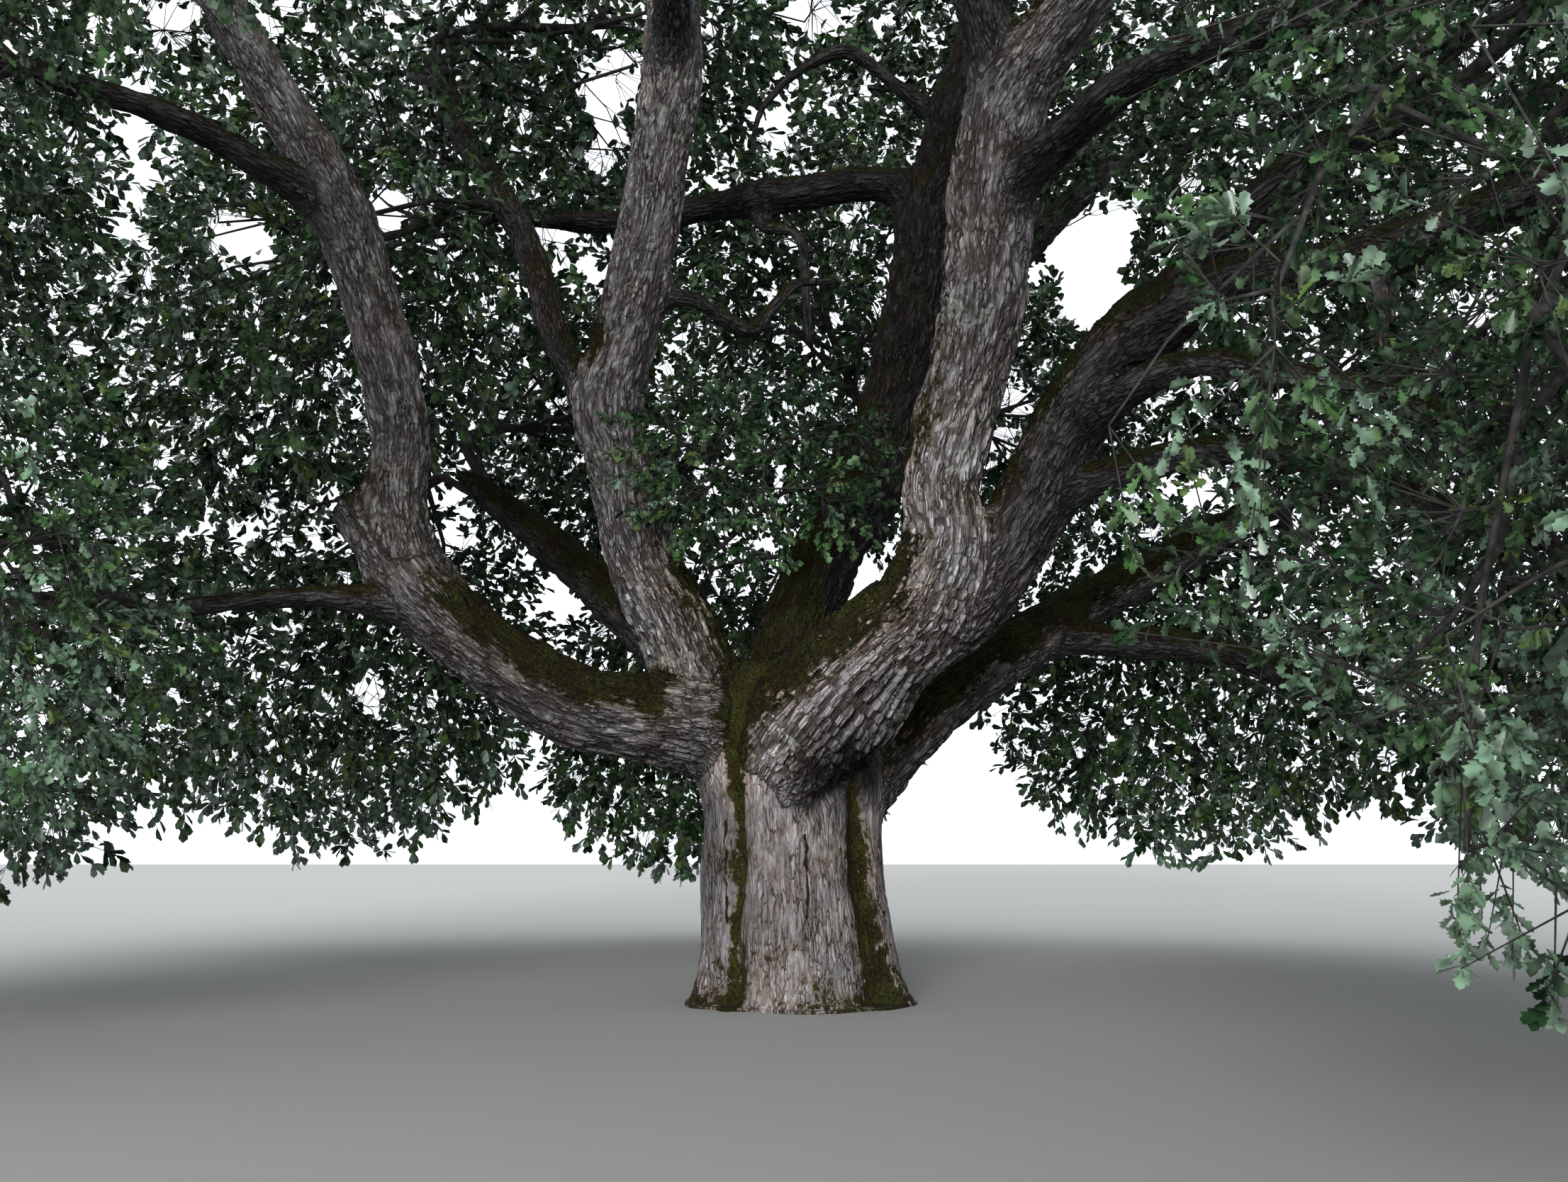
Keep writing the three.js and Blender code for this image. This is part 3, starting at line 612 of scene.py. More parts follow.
def roughTree():
    # trunk and boughs as closed tubes that run into each other
    heights = np.linspace(0, trunkForm["heights"][-1], skinForm["trunkRings"])
    around = np.arange(skinForm["trunkSides"]) * (360 / skinForm["trunkSides"])
    h, side = np.meshgrid(heights, around, indexing="ij")
    r = trunkRadius(side, h)
    x = trunkForm["lean"][0] * h + r * np.sin(np.radians(side))
    y = trunkForm["lean"][1] * h - r * np.cos(np.radians(side))
    vertices = [np.stack([x, y, h], -1).reshape(-1, 3)]
    faces = ringFaces(*h.shape)
    count = len(vertices[0])
    turns = np.arange(skinForm["sides"]) * (2 * math.pi / skinForm["sides"])
    for tube in tubes.values():
        ring = tube["radius"][:, None, None] * swung(tube["across"], tube["third"], turns)
        ring = tube["line"][:, None] + ring
        vertices.append(ring.reshape(-1, 3))
        faces += ringFaces(*ring.shape[:2], count)
        count += len(vertices[-1])
    mesh = bpy.data.meshes.new("roughTree")
    mesh.from_pydata(drawIn(np.vstack(vertices)).tolist(), [], faces)
    return mesh


def fuse(mesh):
    # one skin over all the tubes: its points and its four-sided faces
    rough = bpy.data.objects.new("roughTree", mesh)
    bpy.context.scene.collection.objects.link(rough)
    fusing = rough.modifiers.new("fuse", "REMESH")
    fusing.mode = "VOXEL"
    fusing.voxel_size = skinForm["voxel"]
    done = bpy.data.meshes.new_from_object(rough.evaluated_get(bpy.context.evaluated_depsgraph_get()))
    bpy.data.objects.remove(rough)
    bpy.data.meshes.remove(mesh)
    points = np.empty(len(done.vertices) * 3, np.float32)
    done.vertices.foreach_get("co", points)
    corners = np.empty(len(done.loops), np.int32)
    done.loops.foreach_get("vertex_index", corners)
    bpy.data.meshes.remove(done)
    return drawOut(points.reshape(-1, 3)), corners.reshape(-1, 4)


def pointNormals(points, quads):
    a, b, c, d = (points[quads[:, k]] for k in range(4))
    flat = np.cross(c - a, d - b)
    normals = np.zeros_like(points)
    for k in range(4):
        for axis in range(3):
            normals[:, axis] += np.bincount(quads[:, k], flat[:, axis], len(points))
    return unit(normals)


def placeOnTube(points, tube, margin):
    # for the points within the margin: which they are, how far outside the tube, the way out, and their
    # spot across and along it
    line, radius = tube["line"], tube["radius"]
    low, high = (line - radius[:, None]).min(0) - margin, (line + radius[:, None]).max(0) + margin
    which = np.flatnonzero(((points > low) & (points < high)).all(1))
    here = points[which]
    best = np.full(len(which), 1e9)
    out, spot = np.zeros((2, len(which), 3))
    for j in range(len(line) - 1):
        step = line[j + 1] - line[j]
        reach = radius[j] + margin + np.abs(step)
        close = np.flatnonzero((np.abs(here - (line[j] + line[j + 1]) / 2) < reach).all(1))
        t = np.clip((here[close] - line[j]) @ step / step.dot(step), 0, 1)
        off = here[close] - line[j] - t[:, None] * step
        span = np.linalg.norm(off, axis=1)
        d = span - radius[j] - t * (radius[j + 1] - radius[j])
        won = d < best[close]
        mine = close[won]
        best[mine] = d[won]
        out[mine] = off[won] / span[won, None]
        rest = tube["length"][j] + t * tube["gap"][j]
        spot[mine] = np.stack([off @ tube["across"][j], off @ tube["third"][j], rest], 1)[won]
    near = best < margin
    return which[near], best[near], out[near], spot[near]


def placeOnTrunk(points, margin):
    # the same for the trunk
    height = np.clip(points[:, 2], 0, trunkForm["heights"][-1])
    x = points[:, 0] - trunkForm["lean"][0] * height
    y = points[:, 1] - trunkForm["lean"][1] * height
    r = trunkRadius(np.degrees(np.arctan2(x, -y)) % 360, height)
    above = points[:, 2] - trunkForm["heights"][-1]
    aside = np.hypot(x, y) - r
    d = np.minimum(np.maximum(aside, above), 0) + np.hypot(np.maximum(aside, 0), np.maximum(above, 0))
    out = unit(np.stack([x, y, np.maximum(above, 0) * 3], 1))
    near = np.flatnonzero(d < margin)
    return near, d[near], out[near], np.stack([x, y, points[:, 2]], 1)[near]


def placesOnTree(points, margin):
    found = {"trunk": placeOnTrunk(points, margin)}
    for name, tube in tubes.items():
        found[name] = placeOnTube(points, tube, margin)
    return found


def holdOf(d, collar):
    # how strongly a tube holds the bark at a distance from it
    return np.exp(-np.maximum(d, -skinForm["deepest"]) / collar)


def drawOnto(points):
    # moves points onto the soft union of all tubes
    held = np.full(len(points), 1e-12)
    ways = np.zeros_like(points)
    for which, d, out, spot in placesOnTree(points, skinForm["margin"]).values():
        weight = holdOf(d, skinForm["collar"])
        held[which] += weight
        ways[which] += weight[:, None] * out
    distance = -skinForm["collar"] * np.log(held)
    most = skinForm["mostDrawn"]
    moved = points - np.clip(distance, -most, most)[:, None] * unit(ways)
    moved[:, 2] = np.maximum(moved[:, 2], 0)
    return moved


def ridges(spot, width, length, seed):
    # 0 in a crack to 1 on a ridge, drawn out along the grain
    stray = [softNoise(spot / skinForm["wanderOver"], seed + k) for k in (11, 12)]
    strayAlong, over = skinForm["wanderAlong"]
    cell = spot / np.array([width, width, length])
    cell[:, :2] += np.stack(stray, 1) * skinForm["wander"]
    cell[:, 2] += softNoise(spot / over, seed + 13) * strayAlong
    return smoothStep(*skinForm["ridgeEdge"], plates(cell, seed))


def furrowed(spot):
    # how deep each place on the trunk lies in a furrow, in metres, and how close it is to one
    stray = softNoise(spot / np.array(furrowForm["strayOver"]), 31) * furrowForm["stray"]
    varied = 1 + furrowForm["vary"] * softNoise(spot / furrowForm["varyOver"], 33)
    foot, top = furrowForm["foot"], furrowForm["top"]
    side = np.degrees(np.arctan2(spot[:, 0], -spot[:, 1])) + stray
    around = np.hypot(spot[:, 0], spot[:, 1])
    depth, beside = np.zeros((2, len(spot)))
    for first, last, low, high, depths, widths in furrows:
        share = np.clip((spot[:, 2] - low) / (high - low), 0, 1)
        half = (widths[0] + (widths[1] - widths[0]) * share) * varied
        aside = np.radians((side - first - (last - first) * share + 540) % 360 - 180) * around
        # it runs out at both ends, but not at the ground
        ends = smoothStep(low - foot, low + foot, spot[:, 2] + 2 * foot * (low == 0))
        ends = ends * smoothStep(high + top, high - top, spot[:, 2])
        deep = depths[0] + (depths[1] - depths[0]) * share
        depth = np.maximum(depth, deep * ends * np.exp(-((aside / half) ** 2)))
        close = np.exp(-((aside / (half + furrowForm["beside"])) ** 2))
        beside = np.maximum(beside, ends * close)
    return depth, beside


def kneeAt(points):
    # how far the knee swells out, and how deep the dent below it is
    side = np.degrees(np.arctan2(points[:, 0] - trunkForm["lean"][0] * points[:, 2], -points[:, 1]))
    away = np.hypot(points[:, 0], points[:, 1])
    near = smoothStep(*knee["inner"], away) * smoothStep(*knee["outer"], away)
    stands = np.interp(side, knee["sides"], knee["stands"]) * near
    edge = np.interp(side, knee["sides"], knee["lip"]) + knee["wander"] * softNoise(points / 0.17, 41)
    above = points[:, 2] - edge
    swells = smoothStep(-knee["sharp"], knee["sharp"], above) * smoothStep(*knee["top"], points[:, 2])
    deep, high = knee["hollow"]
    hollow = np.exp(-(((above + high) / high) ** 2)) * (1 - smoothStep(-knee["sharp"], 0, above))
    return stands * swells, stands / max(knee["stands"]) * hollow * deep


def worked(points, normals):
    # the bark's relief, and for each point what its material needs and the limb it is on
    total = np.full(len(points), 1e-12)
    height, crest, sunk, mossy, light, rough = np.zeros((6, len(points)))
    closest = np.full(len(points), 1e9)
    owner = np.zeros(len(points), int)
    grain = points.copy()
    swells, hollow = kneeAt(points)
    onKnee = swells / max(knee["stands"])
    found = placesOnTree(points, skinForm["margin"])
    for index, (name, (which, d, out, spot)) in enumerate(found.items()):
        weight = holdOf(d, skinForm["collar"] * skinForm["barkCollar"])
        if name == "trunk":
            weight *= 1 - onKnee[which] * knee["overTrunk"]
            small, width = skinForm["trunkDepth"], skinForm["ridgeWidth"] * skinForm["trunkWidth"]
            deep, beside = furrowed(spot)
        else:
            thick = np.interp(spot[:, 2], tubes[name]["length"], tubes[name]["radius"])
            small = np.clip(thick / skinForm["fullDepth"], skinForm["leastDepth"], 1)
            width = skinForm["ridgeWidth"]
            deep, beside = np.zeros((2, len(which)))
        if name == knee["bough"]:
            weight *= 1 + onKnee[which] * knee["ownBark"]
            d = d - onKnee[which] * knee["ownReach"]
        for middle, reach, more in crackedPlaces:
            small = small * (1 + more * closeTo(points[which], middle, reach))
        stands = ridges(spot, width, skinForm["ridgeLength"], index * 7)
        # the limb's moss, and its lightness, which is partly painted light and shade
        moreMoss, lightness = weatherAndShade.get(name, otherWeatherAndShade)
        total[which] += weight
        crest[which] += weight * stands
        sunk[which] += weight * np.maximum(deep, beside * mossForm["beside"])
        mossy[which] += weight * moreMoss
        light[which] += weight * lightness
        rough[which] += weight * small
        height[which] += weight * ((stands - 1) * skinForm["ridgeDepth"] * small - deep)
        closer = d < closest[which]
        owner[which[closer]] = index
        closest[which[closer]] = d[closer]
        grain[which[closer]] = spot[closer] + index
    large, little = skinForm["lumpSizes"]
    most, over, least = skinForm["lumpFade"]
    broad = softNoise(points / large, 91) + 0.5 * softNoise(points / little, 92)
    lumps = broad * skinForm["lumps"] * np.clip(most - points[:, 2] / over, least, 1)
    relief = height / total + lumps + swells - hollow
    shift = normals * relief[:, None]
    shift[:, 2] *= smoothStep(0.0, 0.06, points[:, 2])
    sunk = sunk / total + hollow * knee["hollowMoss"]
    look = {"grain": grain, "crest": crest / total, "rough": rough / total}
    return points + shift, owner, look | weatheredAndShaded(points, normals, sunk, mossy / total, light / total)


# How the bark has weathered: how much more or less moss a limb has, and how light its bark is, partly its own
# tone and partly painted light and shade
weatherAndShade = {
    "trunk": (-0.3, 0.75),
    "bough_right_front": (0.14, 1.72),
    "bough_centre_left": (-0.12, 1.32),
    "bough_left_low": (0.24, 0.85),
    "bough_left_rise": (-0.1, 1.12),
    "bough_centre_back": (0.14, 0.17),
    "bough_right_low": (0.2, 0.7),
    "bough_back_left": (0.1, 0.3),
    "bough_right": (0.1, 0.53),
    "bough_right_reach": (0.1, 0.35),
    "bough_across": (0.0, 0.2),
    "bough_inner": (-0.1, 0.3),
}
otherWeatherAndShade = (0.0, 0.32)
mossForm = {
    "heights": [0, 3, 8, 12],
    "less": [0.12, 0.12, 0.45, 0.6],  # how much less moss at those heights
    "sunk": 12.0,  # more moss for each metre of depth in a furrow
    "beside": 0.025,  # beside a furrow there is as much as this deep in one
    "most": 0.5,
    "lumps": 0.28,
    "lumpSize": 0.35,
    "ground": 0.35,  # the flat cut at the ground counts as facing up this far
    "below": 0.5,  # how much less there is on what faces down
}
barkShade = {
    "heights": [0, 3.2, 6, 10, 18],
    "share": [1, 1, 0.97, 0.9, 0.75],  # how light the bark is at those heights, under the crown: painted shade of the crown above, and partly darker bark
    "below": 0.45,  # painted shade: how dark bark is that faces down
    "patches": 0.15,
}


def weatheredAndShaded(points, normals, sunk, mossy, light):
    # moss grows on what faces up, less with height, and takes the bark where its amount is above 0; the
    # bark's lightness takes painted light and shade
    facing = np.where(points[:, 2] < 0.05, mossForm["ground"], normals[:, 2])
    moss = facing + mossy - np.interp(points[:, 2], mossForm["heights"], mossForm["less"])
    moss += mossForm["lumps"] * softNoise(points / mossForm["lumpSize"], 51) + sunk * mossForm["sunk"]
    moss -= mossForm["below"] * (1 - smoothStep(-0.4, 0.2, facing))
    for middle, reach, more in mossPlaces:
        moss += more * closeTo(points, middle, reach)
    moss = np.minimum(moss, mossForm["most"])
    # painted shade: darker with height under the crown, and where the bark faces down
    light = light * np.interp(points[:, 2], barkShade["heights"], barkShade["share"])
    light *= 1 - barkShade["below"] * smoothStep(-0.05, -0.75, normals[:, 2])
    # painted shadow in the sheltered places
    for middle, reach, dark in paintedShadowPlaces:
        light *= 1 - dark * closeTo(points, middle, reach)
    return {"moss": moss, "light": light * (1 + barkShade["patches"] * softNoise(points / 0.8, 52))}


bearing = {bough for bough, middle in masses.values()}


def makeTube(name):
    # a limb's line with its radii, and the directions across it
    course = courseOf(name)
    span = np.linalg.norm(np.diff(alongCourse(course, 60)[:, :3], axis=0), axis=1).sum()
    road = alongCourse(course, max(4, int(span / skinForm["step"])))
    tip, ahead = road[-1].copy(), unit(road[-1, :3] - road[-3, :3])
    if name in bearing:
        # the end tapers on into its stems
        further = np.hstack([tip[:3] + ahead * skinForm["taper"], tip[3] * skinForm["taperTo"]])
        road = np.vstack([road, (tip + further) / 2, further])
    along, across, third = carryFrame(road[:, :3])
    gaps = np.linalg.norm(np.diff(road[:, :3], axis=0), axis=1)
    return {
        "line": road[:, :3],
        "radius": road[:, 3],
        "across": across,
        "third": third,
        "gap": gaps,
        "length": np.concatenate([[0], np.cumsum(gaps)]),
        "tip": tip,
        "ahead": ahead,
    }


def makeSkin():
    # points, faces and normals of the worked skin, the limb that each point is on and its look
    points, quads = fuse(roughTree())
    report(f"skin fused: {len(quads)} faces")
    grounded = points[:, 2] < 0.02
    for again in range(2):
        points = drawOnto(points)
    points[grounded, 2] = 0
    normals = pointNormals(points, quads)
    normals[grounded & (normals[:, 2] < -0.9)] = 0
    normals[points[:, 2] < 0.05, 2] = 0
    points, owner, look = worked(points, unit(normals))
    points[grounded, 2] = 0
    points[:, 2] = np.maximum(points[:, 2], 0)
    report("bark worked")
    return points, quads, pointNormals(points, quads), owner, look


def addObject(name, points, faces, material):
    # a mesh object from arrays, its faces all with the same number of corners
    mesh = bpy.data.meshes.new(name)
    sides = faces.shape[1]
    mesh.vertices.add(len(points))
    mesh.vertices.foreach_set("co", np.ascontiguousarray(points, np.float32).ravel())
    mesh.loops.add(faces.size)
    mesh.loops.foreach_set("vertex_index", np.ascontiguousarray(faces, np.int32).ravel())
    mesh.polygons.add(len(faces))
    mesh.polygons.foreach_set("loop_start", np.arange(len(faces), dtype=np.int32) * sides)
    mesh.update(calc_edges=True)
    mesh.materials.append(material)
    piece = bpy.data.objects.new(name, mesh)
    bpy.context.scene.collection.objects.link(piece)
    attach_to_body(piece, "root")
    return piece


def store(piece, name, values):
    # keeps values for each point, which the materials read by that name
    threefold = values.ndim == 2
    layer = piece.data.attributes.new(name, "FLOAT_VECTOR" if threefold else "FLOAT", "POINT")
    values = np.ascontiguousarray(values, np.float32).ravel()
    layer.data.foreach_set("vector" if threefold else "value", values)


# Materials: small groups of shader nodes, each made once and given its own values in every material


def place(tree, kind, settings, **values):
    # adds a node; its inputs take numbers, colours or what other nodes put out
    node = tree.nodes.new("ShaderNode" + kind)
    for name, value in settings.items():
        setattr(node, name, value)
    feed(tree, node, values)
    return node


def feed(tree, node, values):
    for name, value in values.items():
        connect(tree, node.inputs[name.replace("_", " ")], value)


def connect(tree, socket, value):
    if isinstance(value, bpy.types.NodeSocket):
        tree.links.new(value, socket)
    elif socket.type == "RGBA":
        socket.default_value = (*value, 1)
    else:
        socket.default_value = value


def calc(tree, operation, *values, kind="Math"):
    node = place(tree, kind, {"operation": operation})
    for socket, value in zip(node.inputs, values):
        connect(tree, socket, value)
    number = kind == "Math" or operation in ("DISTANCE", "DOT_PRODUCT")
    return node.outputs["Value" if number else "Vector"]


def calcPlace(tree, operation, *values):
    # the same for places and directions, or what is measured between them
    return calc(tree, operation, *values, kind="VectorMath")


def stretched(tree, vector, scale):
    return calcPlace(tree, "MULTIPLY", vector, scale)


def noise(tree, vector, scale, detail=2.0):
    return place(tree, "TexNoise", {}, Vector=vector, Scale=scale, Detail=detail).outputs["Fac"]


def rising(tree, value, low, high, start=0.0, end=1.0):
    settings = {"interpolation_type": "SMOOTHSTEP"}
    values = {"Value": value, "From_Min": low, "From_Max": high, "To_Min": start, "To_Max": end}
    return place(tree, "MapRange", settings, **values).outputs["Result"]


def grey(tree, value):
    return place(tree, "CombineColor", {}, Red=value, Green=value, Blue=value).outputs[0]


def blend(tree, share, a, b, kind="MIX"):
    node = place(tree, "Mix", {"data_type": "RGBA", "blend_type": kind})
    connect(tree, node.inputs[0], share)
    connect(tree, node.inputs[6], a)
    connect(tree, node.inputs[7], b)
    return node.outputs[2]


def newGroup(name, inputs, outputs):
    # inputs by name with their defaults: a number, a colour of three, or None for a place
    group = bpy.data.node_groups.new(name, "ShaderNodeTree")
    for label, value in inputs.items():
        kind = "Vector" if value is None else "Color" if isinstance(value, tuple) else "Float"
        socket = group.interface.new_socket(label, in_out="INPUT", socket_type="NodeSocket" + kind)
        if value is not None:
            socket.default_value = (*value, 1) if kind == "Color" else value
    for label, kind in outputs.items():
        group.interface.new_socket(label, in_out="OUTPUT", socket_type="NodeSocket" + kind)
    return group, group.nodes.new("NodeGroupInput").outputs, group.nodes.new("NodeGroupOutput").inputs


def useGroup(tree, group, **values):
    node = tree.nodes.new("ShaderNodeGroup")
    node.node_tree = group
    feed(tree, node, values)
    return node.outputs


def platesGroup():
    # plates of bark with dark cracks between them, drawn out along the grain
    inputs = {
        "Grain": None,
        "Across": 30.0,
        "Along": 8.0,
        "Crack": 0.1,
        "Closed": 0.8,
        "Pale": (0.4, 0.38, 0.37),
        "Dull": (0.25, 0.23, 0.22),
        "Deep": (0.05, 0.04, 0.035),
    }
    outputs = {"Color": "Color", "Inside": "Float", "Height": "Float"}
    tree, given, out = newGroup("barkPlates", inputs, outputs)
    each = place(tree, "CombineXYZ", {}, X=given["Across"], Y=given["Across"], Z=given["Along"]).outputs[0]
    spread = stretched(tree, given["Grain"], each)
    drawn = stretched(tree, given["Grain"], (1, 1, 0.4))
    stray = place(tree, "TexNoise", {}, Vector=drawn, Scale=9.0, Detail=2.0).outputs["Color"]
    bent = calcPlace(tree, "MULTIPLY_ADD", stray, (1.6, 1.6, 1.6), spread)
    cells = place(tree, "TexVoronoi", {"feature": "DISTANCE_TO_EDGE"}, Vector=bent, Scale=1.0)
    dots = place(tree, "TexVoronoi", {}, Vector=bent, Scale=1.0)
    patches = noise(tree, stretched(tree, given["Grain"], (1, 1, 0.35)), 7.0)
    closed = rising(tree, patches, 0.4, 0.65, 0.0, given["Closed"])
    inside = calc(tree, "MAXIMUM", closed, rising(tree, cells.outputs["Distance"], 0.01, given["Crack"]))
    fibres = noise(tree, stretched(tree, given["Grain"], (1, 1, 0.25)), 90.0, 3.0)
    own = place(tree, "SeparateColor", {}, Color=dots.outputs["Color"]).outputs[0]
    tone = rising(tree, calc(tree, "MULTIPLY_ADD", own, 0.5, fibres), 0.35, 1.15)
    surface = blend(tree, tone, given["Dull"], given["Pale"])
    connect(tree, out["Color"], blend(tree, inside, given["Deep"], surface))
    connect(tree, out["Inside"], inside)
    swell = rising(tree, cells.outputs["Distance"], 0.0, 0.4)
    height = calc(tree, "MULTIPLY_ADD", inside, 0.5, calc(tree, "MULTIPLY_ADD", own, 0.3, swell))
    connect(tree, out["Height"], calc(tree, "MULTIPLY_ADD", fibres, 0.3, height))
    return tree


def mossGroup():
    # ragged cover of moss where the amount passes 0, last on what stands bare
    inputs = {
        "Place": None,
        "Amount": 0.0,
        "Ragged": 0.3,
        "Bare": 0.0,
        "Edge": 0.08,
        "Brown": (0.017, 0.0125, 0.003),
        "Green": (0.022, 0.023, 0.0042),
    }
    outputs = {"Mask": "Float", "Stain": "Float", "Color": "Color", "Height": "Float"}
    tree, given, out = newGroup("mossCover", inputs, outputs)
    broad = noise(tree, given["Place"], 4.0, 4.0)
    tufts = noise(tree, given["Place"], 40.0, 3.0)
    clumps = noise(tree, given["Place"], 13.0, 3.0)
    stray = calc(tree, "SUBTRACT", broad, 0.5)
    stray = calc(tree, "ADD", stray, calc(tree, "MULTIPLY_ADD", tufts, 0.8, -0.4))
    stray = calc(tree, "ADD", stray, calc(tree, "MULTIPLY_ADD", clumps, 1.2, -0.6))
    level = calc(tree, "MULTIPLY_ADD", stray, given["Ragged"], given["Amount"])
    level = calc(tree, "SUBTRACT", level, given["Bare"])
    low = calc(tree, "MULTIPLY", given["Edge"], -1.0)
    connect(tree, out["Mask"], rising(tree, level, low, given["Edge"]))
    connect(tree, out["Stain"], rising(tree, level, -0.7, 0.0))
    patches = rising(tree, noise(tree, given["Place"], 3.0), 0.35, 0.65)
    tone = blend(tree, patches, given["Brown"], given["Green"])
    deepAndPale = blend(tree, rising(tree, tufts, 0.3, 0.7), (0.35,) * 3, (1.9,) * 3)
    connect(tree, out["Color"], blend(tree, 1.0, tone, deepAndPale, "MULTIPLY"))
    connect(tree, out["Height"], tufts)
    return tree


def crackGroup():
    # a long, wandering crack in the front of the trunk, from a foot to a top
    inputs = {"Place": None, "Foot": None, "Top": None, "Width": 0.012}
    tree, given, out = newGroup("longCrack", inputs, {"Mask": "Float"})
    upright = (1, 0, 1)  # what counts of a direction, seen from the front
    stray = place(tree, "TexNoise", {}, Vector=given["Place"], Scale=7.0, Detail=3.0).outputs["Color"]
    stray = stretched(tree, calcPlace(tree, "SUBTRACT", stray, (0.5, 0.5, 0.5)), (0.09, 0, 0))
    off = calcPlace(tree, "ADD", calcPlace(tree, "SUBTRACT", given["Place"], given["Foot"]), stray)
    off = stretched(tree, off, upright)
    way = stretched(tree, calcPlace(tree, "SUBTRACT", given["Top"], given["Foot"]), upright)
    reached = calcPlace(tree, "DOT_PRODUCT", off, way)
    share = calc(tree, "DIVIDE", reached, calcPlace(tree, "DOT_PRODUCT", way, way))
    held = place(tree, "Clamp", {}, Value=share).outputs[0]
    held = place(tree, "CombineXYZ", {}, X=held, Y=held, Z=held).outputs[0]
    apart = calcPlace(tree, "DISTANCE", off, stretched(tree, way, held))
    forward = place(tree, "SeparateXYZ", {}, Vector=given["Place"]).outputs["Y"]
    front = rising(tree, forward, -0.5, -0.2, 1.0, 0.0)
    swells = rising(tree, noise(tree, given["Place"], 11.0), 0.3, 0.6, 0.5, 1.5)
    line = calc(tree, "LESS_THAN", apart, calc(tree, "MULTIPLY", given["Width"], swells))
    connect(tree, out["Mask"], calc(tree, "MULTIPLY", line, front))
    return tree


def lichenGroup():
    # crusts of pale lichen in scattered spots
    inputs = {"Place": None, "Size": 9.0, "Amount": 0.3}
    inputs |= {"Pale": (0.5, 0.53, 0.46), "Dull": (0.34, 0.38, 0.33)}
    tree, given, out = newGroup("lichenSpots", inputs, {"Mask": "Float", "Color": "Color"})
    spots = noise(tree, given["Place"], given["Size"], 5.0)
    where = noise(tree, given["Place"], 1.3, 2.0)
    level = calc(tree, "ADD", spots, calc(tree, "MULTIPLY_ADD", where, 0.5, given["Amount"]))
    connect(tree, out["Mask"], rising(tree, level, 1.0, 1.1))
    fine = rising(tree, noise(tree, given["Place"], 60.0), 0.35, 0.65)
    connect(tree, out["Color"], blend(tree, fine, given["Pale"], given["Dull"]))
    return tree


shared = {"plates": platesGroup(), "moss": mossGroup(), "crack": crackGroup(), "lichen": lichenGroup()}


def reads(tree, name):
    # what store keeps for each point
    node = place(tree, "Attribute", {"attribute_name": name})
    return node.outputs["Vector" if name == "grain" else "Fac"]


barkTones = {"Pale": (0.53, 0.5, 0.505), "Dull": (0.27, 0.245, 0.24), "Deep": (0.06, 0.048, 0.043)}
barks = {
    "trunk_bark": {
        "coarse": (12.0, 1.8, 0.08),  # plates for each metre across and along, and the share that is crack
        "coarseShare": 0.45,  # how strongly those show
        "closed": 0.8,  # how far some of the cracks are closed
        "fine": (34.0, 5.0, 0.12),  # the same for the smaller plates
        "lichen": 0.08,
        "ragged": 1.0,  # how ragged the moss's edge is
        "relief": (0.012, 0.005),  # heights of coarse and fine plates in metres
    },
    "bough_bark": {
        "coarse": (19.0, 4.2, 0.17),
        "coarseShare": 0.85,
        "closed": 0.5,
        "fine": (40.0, 10.0, 0.15),
        "lichen": 0.15,
        "ragged": 0.75,
        "relief": (0.04, 0.007),
    },
}
barkWear = {
    "warm": (1.06, 0.98, 0.93),  # patches of warmer and cooler bark
    "cool": (0.95, 1.0, 1.05),
    "patches": 0.8,
    "between": 0.85,  # painted shade: how dark it is between the highest ridges
    "lichen": 0.5,
    "crack": (0.012, 0.011, 0.008),
    "stain": (0.62, 0.5, 0.36),  # bark beside moss
    "stained": 0.7,
    "bareCrests": 0.3,  # how much less moss grows on the ridges
    "mossRelief": 0.02,
    "roughness": 0.82,
    "shine": 0.16,
}
# long cracks down the front of the trunk: foot, top and half width
longCracks = [
    ((0.09, 0, 0.86), (0.06, 0, 1.62), 0.011),
    ((-0.67, 0, 0.8), (-0.7, 0, 1.75), 0.008),
]


